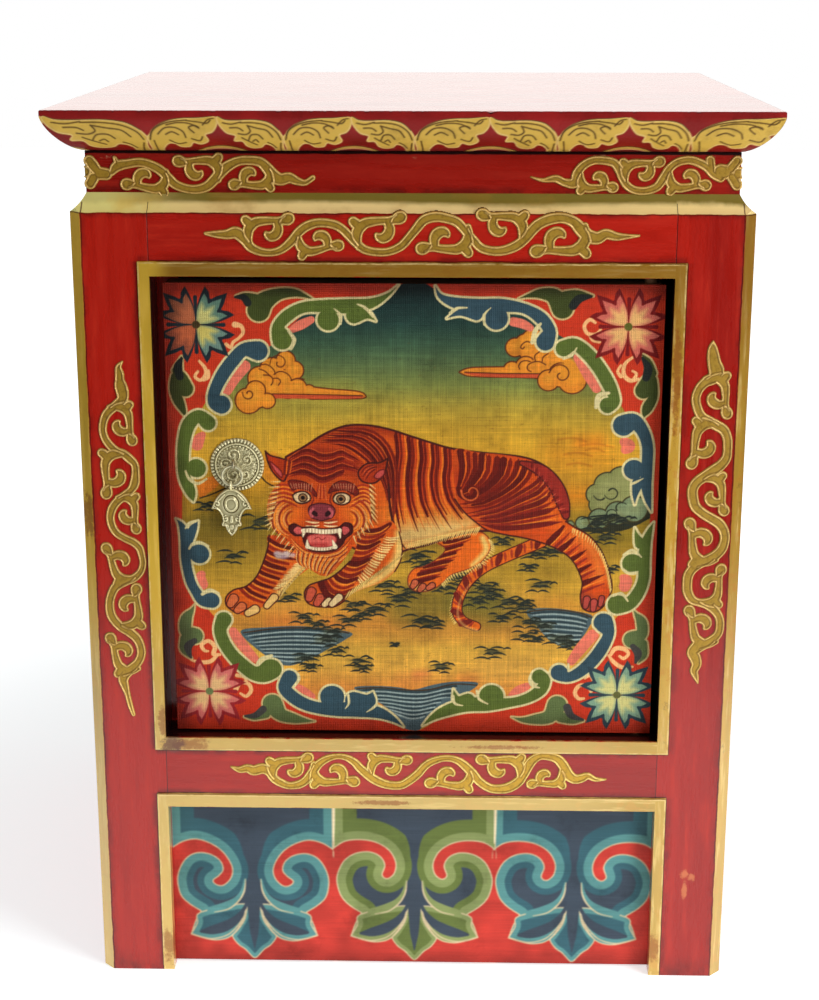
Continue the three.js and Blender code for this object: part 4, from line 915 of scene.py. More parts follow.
def threads(count, length, seed):
    """Light and dark threads side by side, each two steps thick and changing slowly along its length."""
    knots = np.random.default_rng(seed).normal(0, 1, (count // 2 + 1, length // 40 + 2))
    along = np.linspace(0, knots.shape[1] - 1.001, length)
    before = along.astype(int)
    share = along - before
    lines = knots[:, before] * (1 - share) + knots[:, before + 1] * share
    return np.repeat(lines, 2, axis=0)[:count]


def paint_door():
    """A tiger in a landscape, in a cartouche of scrolled leaves with a flower in each corner."""
    p = Picture((0, DOOR_WIDTH), (0, DOOR_HEIGHT), PAINT_STEP, DOOR_RED)
    paint_ground(p)
    paint_water(p)
    paint_clouds(p)
    paint_rocks(p)
    paint_grass(p)
    paint_tail(p)
    paint_far_leg(p)
    paint_body(p)
    paint_haunch(p)
    paint_near_legs(p)
    paint_face(p)
    for patch in PINK_PATCHES:
        p.line(patch, PINK)
    p.inside()
    for number, (green, comma) in enumerate(CORNERS):
        top = number < len(CORNERS) / 2
        p.leaf(green, (64, 72, 28) if top else (92, 106, 60), (206, 176, 116), 1.2)
        p.line(comma, INK if top else (66, 62, 58))
    for curl in CURLS:
        p.line(curl, CURL)
    for number, strokes in enumerate(LEAVES):
        p.leaf(strokes, (LEAF_GREEN, LEAF_BLUE)[number % 2], CREAM, 1.5)
    for crescent in CRESCENTS:
        p.line(crescent, CREAM)
    for centre, dark, petals, heart in FLOWERS:
        paint_flower(p, centre, dark, petals, heart)
    rows, cols = p.colour.shape[:2]
    # Painted shade along the left and top edges, where the frame shades the sunken door, and a darker band
    # along the bottom
    ragged = 6 * clouds(rows, cols, int(12 / p.step), 51)
    shaded_left = np.clip((17 - p.u[None, :] - ragged) / 12, 0, 1)
    shaded_top = np.clip((p.v[:, None] + ragged - DOOR_HEIGHT + 8) / 9, 0, 1)
    near_bottom = np.clip((14 - p.v[:, None] + ragged) / 14, 0, 1) * 0.5
    grime_and_shade = np.clip(0.62 * shaded_left + 0.5 * shaded_top + 0.5 * near_bottom, 0, 0.7)[..., None]
    p.colour += grime_and_shade * (p.colour * np.array((0.42, 0.3, 0.28)) - p.colour)
    canvas = threads(rows, cols, 61) + threads(cols, rows, 62).T
    p.inside(CARTOUCHE, 10)
    p.colour *= 1 + ((0.016 + 0.02 * p.mask) * canvas)[..., None]
    return p


# The painted apron: three hanging cloths with scrolled ends
APRON_LEFT = 167.7
APRON_CENTRES = (56, 170, 282)
APRON_RED = (190, 56, 46)
APRON_DARK = (60, 70, 82)
APRON_CREAM = (206, 184, 146)
BLUE_BANDS = ((86, 138, 136), (54, 92, 102))
GREEN_BANDS = ((130, 142, 86), (98, 112, 56))
# Half of a cloth, from its side to its middle: the hook between two cloths, the scroll and the leaf ends
LONG_HOOK = [(57, 88), (49, 93), (39, 95), (28, 91), (20, 84), (15, 74), (16, 66), (21, 60.5), (25.5, 60.5),
             (28, 63.5), (24, 67), (20.6, 72), (22.5, 79), (29, 84), (38, 85.5), (46, 82), (51.5, 74),
             (54, 64)]
SHORT_HOOK = [(57, 89), (49, 94.5), (38, 96), (27, 94), (18, 88), (13.6, 79), (14.6, 71), (19, 67),
              (22.4, 69.4), (20.4, 77), (24, 84), (32, 87.5), (42, 86), (50, 80), (54.6, 70), (55, 62)]
CLOTH_END = [(52, 52), (46, 45), (38, 39.5), (38, 39.5), (42, 32), (45.6, 21), (45.6, 21), (38, 18.4),
             (29, 16.4), (21, 17.4), (16, 20), (16, 20), (12, 13.5), (7, 9.6), (1.6, 3.4), (1.6, 3.4)]
LEAF_VEIN = [(4, 50, 0.6), (7, 41, 1.6), (13, 33, 3), (21, 27.6, 4), (30, 24.6, 3.4), (38, 23.4, 1)]
SWOOSH = [(6, 65, 0.4), (7.6, 56, 1.4), (12, 49, 2.2), (20, 43.6, 3.2), (31, 40.8, 2.2)]
SWOOSH_EDGE = [(5.4, 65, 0.3), (6.4, 56, 0.6), (10.4, 48, 0.6), (18, 41.4, 0.5), (28, 38.8, 0.3)]
TONGUE = [(5, 42), (8, 34), (13, 25), (16, 20), (12, 13.5), (7, 9.6), (1.6, 3.4)]
TONGUE_EDGE = [(4.6, 43, 0.3), (7, 33, 0.6), (12.4, 24.6, 0.6), (17, 19.8, 0.4)]
SIDE_LEAF = [(5, 46), (8, 34), (13, 26), (20, 20), (30, 17.4), (38, 18.8), (45.6, 21.4), (45.6, 21.4),
             (41, 30), (38, 39)]


def bands(p, points, colours, limits):
    """A shape with a cream rim and inner bands that follow its outline."""
    path = smooth(points, True)
    window, u, v = p.window([path], 2)
    distance = path_distance(u, v, path, True)
    p.lay(window, distance, APRON_CREAM)
    lift = np.clip((v - 84) / 16, 0, 1)
    for colour, limit, wider in zip((*colours, APRON_DARK), limits, (0, 0, 5)):
        p.lay(window, distance + limit + wider * lift, colour)


def paint_cloth(p, centre, colours, left_hook, right_hook):
    """One hanging cloth: two scrolled halves with leaf ends, and a tongue in the middle."""
    light, middle = colours
    right = [(57, 190), (57, 190), (57, 90)] + right_hook + CLOTH_END
    left = [(57, 190), (57, 190), (57, 90)] + left_hook + CLOTH_END
    outline = [(centre + u, v) for u, v in right] + [(centre - u, v) for u, v in left[::-1]]
    bands(p, outline, colours, (0.9, 6.8, 11.6))
    for side in (-1, 1):
        bands(p, [(centre + side * u, v) for u, v in SIDE_LEAF], colours, (0.9, 4.4, 60))
        p.line([(centre + side * u, v, r) for u, v, r in LEAF_VEIN], APRON_DARK)
        p.line([(centre + side * u, v, r) for u, v, r in SWOOSH], light)
        p.line([(centre + side * u, v, r) for u, v, r in SWOOSH_EDGE], APRON_CREAM)
    ring = [(centre + u, v) for u, v in TONGUE] + [(centre - u, v) for u, v in TONGUE[::-1]]
    bands(p, ring, colours, (0.8, 3.4, 60))
    for side in (-1, 1):
        p.line([(centre + side * u, v, r) for u, v, r in TONGUE_EDGE], APRON_CREAM)
    p.line([(centre, v, r) for v, r in ((62, 5), (46, 4.6), (34, 3.8), (24, 3), (17, 1.6), (11, 0.4))],
           APRON_DARK)


def paint_apron():
    """Blue, green and blue cloths on red, seen through the space below the bottom rail."""
    half = APRON_X[1]
    p = Picture((APRON_LEFT - half, APRON_LEFT + half), APRON_Z, PAINT_STEP, APRON_RED)
    rows, cols = p.colour.shape[:2]
    brush = clouds(rows, cols, int(9 / PAINT_STEP), 31) - 0.5
    p.colour *= 1 + 0.14 * brush[..., None] - 0.22 * np.clip((14 - p.v) / 14, 0, 1)[:, None, None]
    paint_cloth(p, APRON_CENTRES[0], BLUE_BANDS, LONG_HOOK, LONG_HOOK)
    paint_cloth(p, APRON_CENTRES[2], BLUE_BANDS, SHORT_HOOK, SHORT_HOOK)
    paint_cloth(p, APRON_CENTRES[1], GREEN_BANDS, SHORT_HOOK, SHORT_HOOK)
    for u in (APRON_CENTRES[0] + 57.4, APRON_CENTRES[1] + 56.4):
        p.line([(u, 140, 1.1), (u, 112, 1), (u - 0.3, 95, 0.6)], (230, 212, 172))
    for axis in (0, 1):
        p.colour = (np.roll(p.colour, 1, axis) + p.colour + np.roll(p.colour, -1, axis)) / 3
    p.colour *= 1 + 0.02 * threads(rows, cols, 71)[..., None] + 0.12 * (clouds(rows, cols, 40,
                                                                               73) - 0.5)[..., None]
    return p


# The painted cornice: gilt leaves in pairs that meet in a V, over half-moons
LIP_RISE = 3.4
COVE_ARC = 35.2
COVE_FOOT_Z = 573.5
COVE_SWELL = 1.35
CORNICE_STEP = 0.55
CORNICE_RED = (128, 18, 12)
CORNICE_ROSE = (136, 26, 24)
CORNICE_GOLD = (206, 166, 72)
CORNICE_LINE = (82, 56, 20)
CORNICE_UNIT = 86
# One unit of the cornice, in millimetres along and up the painted edge: two leaves and their veins
RIGHT_LEAF = [(0, 19), (0, 19), (2, 21), (4, 24), (9, 28), (16, 31), (24, 32.5), (34, 33), (42, 34.5),
              (45, 33), (44.6, 27), (41.6, 22.6), (37, 20.6), (38.4, 16), (33.6, 13), (28.6, 14.4),
              (26, 10.4), (20.6, 10), (17, 13.4), (13, 13.6), (10, 10), (8.6, 5), (8.5, -2), (1.6, -2),
              (1.5, 8), (0.6, 14)]
LEFT_LEAF = [(86, 19), (86, 19), (83, 24), (77, 29), (68, 31), (58, 30.5), (50, 31), (46, 34.5), (45, 32),
             (46.6, 27), (50.6, 22), (56, 20), (55, 16), (60, 15.6), (62.4, 11), (66.6, 8.4), (71.4, 9.6),
             (74, 13), (77.6, 12), (80, 7.6), (81, -2), (86, -2), (85.4, 12)]
LEAF_VEINS = [[(1.6, 17), (3.6, 23), (8.6, 27), (16, 29.8), (26, 31)],
              [(7, 21), (11.6, 25.2), (18, 25.6), (23, 22.8), (24.4, 18.6)],
              [(13, 27.4), (20, 29), (27.6, 28.4), (33.4, 25.2)],
              [(26, 30.6), (33, 29.6), (38.6, 28.6), (41, 31)], [(12, 20.8), (16, 22.6), (20, 20.6)],
              [(30, 22), (27, 25.6), (30.6, 27), (33, 26)], [(36, 27.4), (39.6, 31.6), (43, 32.6)],
              [(84.4, 17), (82, 22.6), (76, 27.2), (68, 29), (60, 29)],
              [(79.4, 19), (76, 23.6), (70, 25.2), (64, 27)],
              [(64, 16.6), (66, 20.4), (70.4, 20.6), (73, 17.6)],
              [(58, 21.4), (62.6, 20.8), (65.6, 23), (64.4, 26.4)], [(48.6, 29), (54, 28), (60, 29.6)],
              [(53, 25.4), (58, 25.4), (61, 23.4)], [(66.6, 15.6), (68.6, 17), (70, 15)],
              [(5, -2), (4.8, 8), (4, 16)], [(83.6, -2), (83.6, 8), (84.2, 14)],
              [(14, 16.4), (19, 13.4), (24, 14.4)], [(28, 17.6), (33, 16), (35, 19)],
              [(60, 18.4), (65, 15), (69, 12.4)], [(76, 14.6), (79, 12.4), (81, 8.6)]]


def paint_cornice(across, junctions):
    """One side of the cornice; junctions are the places where a pair of leaves meets in a V."""
    p = Picture(across, (0, COVE_ARC + LIP_RISE), CORNICE_STEP, CORNICE_RED)
    rows, cols = p.colour.shape[:2]
    rise = np.clip((p.v - 17) / 6, 0, 1)[:, None, None]
    p.colour += rise * (np.array(CORNICE_ROSE) - CORNICE_RED)
    p.colour *= 1 + 0.2 * (clouds(rows, cols, 24, 41) - 0.5)[..., None]
    for start, end in zip(junctions[:-1], junctions[1:]):
        stretch = (end - start) / CORNICE_UNIT

        def at(points):
            """Points of a unit of leaves, stretched between the junctions."""
            return [(start + u * stretch, *rest) for u, *rest in points]

        p.line(at([(31, -3, 1.9), (33, 4, 1.9), (38.6, 8.2, 2), (46, 9.6, 2), (53.4, 8.2, 2), (59, 4, 1.9),
                   (61, -3, 1.9)]), (190, 148, 70))
        p.line(at([(33.2, -3), (35, 3.6), (39.6, 6.8), (46, 7.8), (52.4, 6.8), (57, 3.6), (58.8, -3)]),
               (206, 140, 112), 0.8)
        p.line(at([(29, -3), (31, 4.8), (37.4, 9.8), (46, 11.6), (54.6, 9.8), (61, 4.8), (63, -3)]),
               CORNICE_LINE, 0.7)
        p.fill(at([(34, -3), (35.8, 3.2), (40, 6.2), (46, 7), (52, 6.2), (56.2, 3.2), (58, -3)]),
               (104, 20, 14))
        for leaf in (RIGHT_LEAF, LEFT_LEAF):
            p.fill(at(leaf), (84, 22, 12), soft=1.4)
            p.fill(at(leaf), CORNICE_GOLD, (222, 186, 112), 1.0)
        for vein in LEAF_VEINS:
            p.line(at(vein), CORNICE_LINE, 0.9, 0.2)
        p.line(at([(2, 20), (4.4, 24.6), (9.4, 28.4), (16, 31.4), (24, 33), (34, 33.5), (42, 35)]),
               CORNICE_LINE, 0.6)
        p.line(at([(83.6, 24), (77.6, 29.4), (68, 31.6), (58, 31.2), (50, 31.6), (46, 35)]), CORNICE_LINE,
               0.6)
    # Painted shade towards the foot of the cove, where it turns under
    low = np.clip((11 - p.v) / 11, 0, 1)[:, None, None]
    p.colour += 0.35 * low * (p.colour * np.array((0.66, 0.56, 0.5)) - p.colour)
    return p


def paint_cornice_front():
    """The front, where the leaves are spaced as listed."""
    return paint_cornice((-TOP_X, TOP_X), (-300, -165, -80, 2, 91, 174, 285))


def paint_cornice_side():
    """A side, with evenly spaced leaves."""
    return paint_cornice((-TOP_DEPTH, TOP_DEPTH), (-246, -164, -82, 0, 82, 164, 246))


# Materials
class Graph:
    """A node material under construction."""

    def __init__(self, name):
        self.material = bpy.data.materials.new(name)
        self.material.use_nodes = True
        self.tree = self.material.node_tree
        self.shader = self.tree.nodes["Principled BSDF"]
        self.place = self.new("ShaderNodeTexCoord").outputs["Object"]

    def new(self, kind, **settings):
        """A new node with some of its properties set."""
        node = self.tree.nodes.new(kind)
        for key, value in settings.items():
            setattr(node, key, value)
        return node

    def put(self, socket, value):
        """Links a socket to another's output, or sets it to a plain value."""
        if isinstance(value, bpy.types.NodeSocket):
            self.tree.links.new(value, socket)
        elif socket.type == "RGBA" and len(value) == 3:
            socket.default_value = (*linear(value), 1)
        else:
            socket.default_value = value

    def math(self, operation, a, b=0.0, c=0.0, clamp=False):
        """The output of a math node."""
        node = self.new("ShaderNodeMath", operation=operation, use_clamp=clamp)
        for socket, value in zip(node.inputs, (a, b, c)):
            self.put(socket, value)
        return node.outputs[0]

    def noise(self, scale, detail=3.0, roughness=0.55, place=None, stretch=None):
        """Noise with features of about 1 / scale metres, stretched per axis if asked."""
        place = place or self.place
        if stretch:
            mapping = self.new("ShaderNodeMapping")
            self.put(mapping.inputs["Vector"], place)
            self.put(mapping.inputs["Scale"], stretch)
            place = mapping.outputs[0]
        node = self.new("ShaderNodeTexNoise")
        self.put(node.inputs["Vector"], place)
        self.put(node.inputs["Scale"], scale)
        self.put(node.inputs["Detail"], detail)
        self.put(node.inputs["Roughness"], roughness)
        return node.outputs["Fac"]

    def ramp(self, value, low, high, smooth=True):
        """0 below low and 1 above high."""
        node = self.new("ShaderNodeMapRange", interpolation_type="SMOOTHSTEP" if smooth else "LINEAR")
        self.put(node.inputs["Value"], value)
        self.put(node.inputs["From Min"], low)
        self.put(node.inputs["From Max"], high)
        return node.outputs[0]

    def between(self, value, low, high, blur):
        """1 where value lies from low to high, with blurred ends."""
        rise = self.ramp(value, low - blur, low + blur)
        fall = self.ramp(value, high - blur, high + blur)
        return self.math("SUBTRACT", rise, fall, clamp=True)

    def any_of(self, *masks):
        """Where at least one of the masks lies."""
        whole = masks[0]
        for mask in masks[1:]:
            whole = self.math("MAXIMUM", whole, mask)
        return whole

    def times(self, *factors):
        """The product of values or masks; of masks, that is where all of them overlap."""
        whole = factors[0]
        for factor in factors[1:]:
            whole = self.math("MULTIPLY", whole, factor)
        return whole

    def plus(self, a, b):
        return self.math("ADD", a, b)

    def minus(self, a, b):
        return self.math("SUBTRACT", a, b)

    def lines(self, value, places, below, above, blur):
        """1 where value lies close to one of the places, from so far below to so far above it."""
        return self.any_of(*(self.between(value, place - below, place + above, blur) for place in places))

    def mix(self, factor, a, b, blend="MIX"):
        node = self.new("ShaderNodeMix", data_type="RGBA", blend_type=blend)
        self.put(node.inputs["Factor"], factor)
        self.put(node.inputs[6], a)
        self.put(node.inputs[7], b)
        return node.outputs[2]

    def mix_value(self, factor, a, b):
        """A plain value from a to b; mix does the same for colours."""
        node = self.new("ShaderNodeMix", data_type="FLOAT")
        self.put(node.inputs["Factor"], factor)
        self.put(node.inputs[2], a)
        self.put(node.inputs[3], b)
        return node.outputs[0]

    def bump(self, height, distance, strength=1.0):
        """A normal for a height from 0 to 1 that stands for so many metres."""
        node = self.new("ShaderNodeBump")
        self.put(node.inputs["Height"], height)
        self.put(node.inputs["Distance"], distance)
        self.put(node.inputs["Strength"], strength)
        return node.outputs[0]

    def finish(self, colour, roughness, metallic, normal, coat=0.0, coat_roughness=0.2, specular=0.5):
        """The finished material."""
        inputs = self.shader.inputs
        for name, value in (("Base Color", colour), ("Roughness", roughness), ("Metallic", metallic),
                            ("Normal", normal)):
            self.put(inputs[name], value)
        inputs["Specular IOR Level"].default_value = specular
        inputs["Coat Weight"].default_value = coat
        inputs["Coat Roughness"].default_value = coat_roughness
        return self.material


RED = (178, 26, 9)
RED_DEEP = (140, 14, 6)
RED_BRIGHT = (198, 42, 16)
RED_STAIN = (74, 12, 7)
# Painted shade on the waist, and the painted shadow just under the top
WAIST_SHADE = (84, 4, 0)
SHADOW_UNDER_TOP = (30, 5, 4)
FLAKE = (206, 150, 116)
GRIME = (70, 44, 26)
THREAD_SHADE = (50, 30, 14)
GOLD = (216, 166, 60)
GOLD_OLIVE = (170, 128, 42)
GOLD_ORANGE = (206, 132, 44)
GOLD_PALE = (240, 208, 132)
GOLD_STAIN = (112, 74, 26)
# Painted shade on the gold high up
GOLD_HIGH_SHADE = (150, 102, 28)
# Painted shade on the inner faces round the door opening; also the colour of the dark leg joints
JOINT_AND_REVEAL_SHADE = (24, 6, 5)
# Painted light on the gilt hollow: olive shade above, pale highlight below, greener highlight at its left
# end
HOLLOW_SHADE = (126, 108, 36)
HOLLOW_HIGHLIGHT = (248, 220, 150)
HOLLOW_GREEN_HIGHLIGHT = (244, 242, 146)
# Stretches of noise that make it run along one axis
ALONG_X = (0.1, 1, 1)
ALONG_Y = (1, 0.1, 1)
ALONG_Z = (1, 1, 0.1)
GOLD_METAL = 0.5
HOLLOW_METAL = 0.15


def axes(g):
    """The object's own right, back and up, in metres."""
    node = g.new("ShaderNodeSeparateXYZ")
    g.put(node.inputs[0], g.place)
    return node.outputs


def blot(g, x, z, middle, size):
    """A ragged patch on the front, 1 in its middle and 0 outside."""
    far = g.times(g.minus(g.noise(240, 5, 0.75), 0.5), 4.0)
    for axis, place, reach in zip((x, z), middle, size):
        part = g.times(g.minus(axis, place), 1 / reach)
        far = g.plus(far, g.times(part, part))
    return g.ramp(far, 1.2, 0.2)


def red_finish(g, grain, stains=None):
    """Colour, roughness and height of brushed red lacquer, dirtier where stains is high."""
    cloud = g.noise(11, 4, 0.6, stretch=grain)
    brush = g.noise(170, 4, 0.65, stretch=grain)
    bristle = g.noise(620, 2, 0.6, stretch=grain)
    speck = g.noise(700, 2, 0.7)
    colour = g.mix(g.ramp(cloud, 0.42, 0.72), RED, RED_DEEP)
    colour = g.mix(g.times(g.ramp(brush, 0.5, 0.75), 0.55), colour, RED_BRIGHT)
    colour = g.mix(g.times(g.ramp(brush, 0.48, 0.25), 0.4), colour, RED_DEEP)
    colour = g.mix(g.times(g.ramp(speck, 0.66, 0.8), 0.5), colour, RED_STAIN)
    if stains is not None:
        patchy = g.times(stains, g.ramp(g.noise(45, 5, 0.7), 0.35, 0.65))
        colour = g.mix(patchy, colour, RED_STAIN)
    rough = g.mix_value(g.ramp(brush, 0.3, 0.7), 0.24, 0.34)
    height = g.plus(g.times(brush, 0.6), g.times(bristle, 0.4))
    return colour, rough, height


def gilt_finish(g, grain=None):
    """Colour, roughness and height of gold paint over gesso."""
    cloud = g.noise(26, 4, 0.6, stretch=grain)
    fine = g.noise(240, 3, 0.65, stretch=grain)
    grit = g.noise(1100, 2, 0.7)
    colour = g.mix(g.ramp(cloud, 0.35, 0.68), GOLD, GOLD_OLIVE)
    colour = g.mix(g.times(g.ramp(g.noise(90, 4, 0.65), 0.5, 0.62), 0.5), colour, GOLD_ORANGE)
    colour = g.mix(g.times(g.ramp(fine, 0.5, 0.68), 0.7), colour, GOLD_PALE)
    colour = g.mix(g.times(g.ramp(grit, 0.6, 0.78), 0.45), colour, GOLD_STAIN)
    rubbed = g.ramp(g.noise(38, 5, 0.75), 0.62, 0.72)
    colour = g.mix(g.times(rubbed, 0.6), colour, GOLD_STAIN)
    rough = g.mix_value(g.ramp(fine, 0.35, 0.7), 0.38, 0.52)
    height = g.plus(g.times(fine, 0.6), g.times(grit, 0.4))
    return colour, rough, height


def lacquered(g, colour, rough, metallic, normal):
    """A finished material with the clear shine of old lacquer."""
    return g.finish(colour, rough, metallic, normal, coat=0.8, coat_roughness=0.14, specular=0.25)


def lacquer(name, grain):
    """Plain red lacquer."""
    g = Graph(name)
    red, rough, height = red_finish(g, grain)
    return lacquered(g, red, rough, 0.0, g.bump(height, 0.0003, 0.5))


# Worn gold and smudges of gold on the red: middle and reach on the front, in metres to the right and up
WORN_GOLD = [((-0.1695, 0.19), (0.0035, 0.012)), ((-0.152, 0.1728), (0.014, 0.006)),
             ((0.1695, 0.022), (0.006, 0.012)), ((-0.1705, 0.02), (0.006, 0.014)),
             ((-0.214, 0.335), (0.006, 0.016)), ((0.171, 0.43), (0.003, 0.04)),
             ((-0.02, 0.131), (0.02, 0.002)), ((0.06, 0.173), (0.03, 0.0016))]
GOLD_SMUDGES = [((0.19, 0.079), (0.003, 0.004)), ((0.195, 0.076), (0.003, 0.003)),
                ((0.1905, 0.066), (0.002, 0.008))]
GOLD_WORN = (152, 74, 26)
# Painted light on the gold at the upper left
GOLD_UPPER_LEFT_LIGHT = (255, 206, 70)
# Painted highlight along the beads' lit edges
GOLD_EDGE_HIGHLIGHT = (255, 222, 150)
SMUDGE = (232, 152, 88)
DUST = (112, 66, 58)
DUSTY_CORNER = ((-0.163, 0.173), (0.009, 0.007))
# Edges of the openings, the beads and the chamfers, in metres from the middle or above the ground
DOOR_OPENING = (0.1684, 0.5045)
APRON_OPENING = (-1, 0.1359)
LEG_BEAD = (0.1668, 0.1753)
BESIDE_LEG_BEAD = (0.1753, 0.179)
LEG_BEAD_EDGE = (0.1752, 0.176)
LIT_LEG_EDGE = (0.1741, 0.175)
LEG_JOINT = (0.1678, 0.1683)
RAIL_BEADS = ((0.4951, 0.5046), (0.1683, 0.1778), (0.1265, 0.136))
BESIDE_RAIL_BEADS = ((0.1359, 0.139), (0.1655, 0.1684), (0.5045, 0.508))
LIT_RAIL_EDGES = (0.5037, 0.1692, 0.1351)
RAIL_BEAD_EDGES = (0.505, 0.1679, 0.1364)
BETWEEN_LEGS = (-1, 0.1755)
LEG_CORNER = (0.2107, 0.2112)
BESIDE_LEG_CORNER = (0.2085, 0.2112)
LEG_CORNER_EDGE = (0.2099, 0.2107)
DEEP_CORNER = (0.1997, 0.2002)
HOLLOW_FOOT = (0.5352, 0.5356)
BELOW_HOLLOW = (0.533, 0.5356)
HOLLOW_EDGE = (0.5346, 0.5353)
# The inner faces round the door opening, where shade is painted
SHADED_REVEAL = ((-1, 0.1687), (-0.2072, 0.15), (0.1685, 0.5042))


class FramePlaces:
    """Places on the frame and masks of its parts, shared by the layers of its material."""

    def __init__(self, g):
        self.x, self.y, self.z = axes(g)
        wobble = g.times(g.minus(g.noise(90, 4, 0.6), 0.5), 0.0016)
        self.across = g.plus(g.math("ABSOLUTE", self.x), wobble)
        self.up = g.plus(self.z, wobble)
        depth = g.plus(g.math("ABSOLUTE", self.y), wobble)
        self.front = g.ramp(self.y, -0.2, -0.2005)
        self.beside_openings = g.any_of(g.between(self.up, *DOOR_OPENING, 0.0005),
                                        g.between(self.up, *APRON_OPENING, 0.0005))
        self.between_legs = g.between(self.across, *BETWEEN_LEGS, 0.0003)
        leg_bead = g.times(g.between(self.across, *LEG_BEAD, 0.0002), self.front, self.beside_openings)
        rail_bead = g.any_of(*(g.between(self.up, low, high, 0.0002) for low, high in RAIL_BEADS))
        rail_bead = g.times(rail_bead, self.between_legs, self.front)
        self.chamfer = g.times(g.ramp(self.across, *LEG_CORNER), g.ramp(depth, *DEEP_CORNER))
        self.hollow = g.ramp(self.up, *HOLLOW_FOOT)
        self.gilded = g.any_of(leg_bead, rail_bead, self.chamfer, self.hollow)
        # Painted shade goes on the inner faces round the door opening
        inside_x, inside_y, inside_z = SHADED_REVEAL
        self.inside = g.times(g.between(self.across, *inside_x, 0.0002),
                              g.between(self.z, *inside_z, 0.0005), g.between(self.y, *inside_y, 0.0004))


def frame_red(g, at, grain):
    """The frame's red: stained beside the gilding and at the feet, with a few smudges of gold."""
    near_rail_bead = g.any_of(*(g.between(at.up, low, high, 0.002) for low, high in BESIDE_RAIL_BEADS))
    near_rail_bead = g.times(near_rail_bead, g.between(at.across, -1, LEG_BEAD[1], 0.002))
    stained = g.any_of(g.times(g.between(at.across, *BESIDE_LEG_BEAD, 0.003), at.beside_openings),
                       g.between(at.across, *BESIDE_LEG_CORNER, 0.003),
                       g.between(at.up, *BELOW_HOLLOW, 0.002), near_rail_bead, g.ramp(at.z, 0.02, 0.0))
    red, rough, height = red_finish(g, grain, g.times(stained, 0.6))
    for middle, size in GOLD_SMUDGES:
        red = g.mix(g.times(blot(g, at.x, at.z, middle, size), at.front, 0.4), red, SMUDGE)
    return red, rough, height


def hollow_gold(g, at, grain, gold):
    """The gilt hollow under the waist: a pale painted highlight below, painted olive shade above, and a
    greener painted highlight at its left end.
    """
    uneven_line = g.times(g.noise(60, 4, stretch=grain), 0.006)
    upper = g.ramp(g.minus(at.up, uneven_line), 0.536, 0.5404)
    left_end = g.times(g.ramp(g.plus(at.x, g.times(g.noise(25, 4), 0.06)), -0.1, -0.17), 0.7)
    upper = g.times(upper, g.minus(1.0, left_end))
    # Painted olive shade above, painted highlight below
    hollow = g.mix(upper, g.mix(left_end, HOLLOW_HIGHLIGHT, HOLLOW_GREEN_HIGHLIGHT), HOLLOW_SHADE)
    return g.mix(g.times(g.ramp(g.noise(30, 4), 0.5, 0.7), 0.4), hollow, gold)


def frame_gold(g, at, grain):
    """The frame's gold: painted shade high up, painted light at the upper left and low down, worn in
    patches, and painted highlights on the lit edges.
    """
    gold, rough, height = gilt_finish(g, grain)
    left_chamfer = g.times(at.chamfer, g.ramp(at.x, 0.0, -0.1))
    # Painted shade high up, with less of it on the left chamfer
    gold = g.mix(g.times(g.ramp(at.z, 0.4, 0.5), g.mix_value(left_chamfer, 0.75, 0.1)), gold, GOLD_HIGH_SHADE)
    # Painted light on the gold at the upper left
    upper_left = g.times(g.ramp(at.x, -0.15, -0.17), g.ramp(at.z, 0.15, 0.3))
    gold = g.mix(g.times(upper_left, 0.7), gold, GOLD_UPPER_LEFT_LIGHT)
    # Painted light on the gold low down, weaker on the right leg
    low = g.times(g.ramp(at.z, 0.28, 0.12), g.mix_value(g.ramp(at.x, 0.1, 0.17), 0.6, 0.3))
    gold = g.mix(low, gold, GOLD_PALE)
    gold = g.mix(at.hollow, gold, hollow_gold(g, at, grain, gold))
    for middle, size in WORN_GOLD:
        gold = g.mix(g.times(blot(g, at.x, at.z, middle, size), 0.65), gold, GOLD_WORN)
    # Painted highlight along the lit edges of the beads
    lit_edge = g.any_of(g.times(g.between(at.across, *LIT_LEG_EDGE, 0.0003), at.beside_openings),
                        g.times(g.lines(at.up, LIT_RAIL_EDGES, 0.0005, 0.0003, 0.0003), at.between_legs))
    lit_edge = g.times(lit_edge, at.front, g.ramp(g.noise(130, 4), 0.35, 0.6))
    return g.mix(g.times(lit_edge, 0.7), gold, GOLD_EDGE_HIGHLIGHT), rough, height


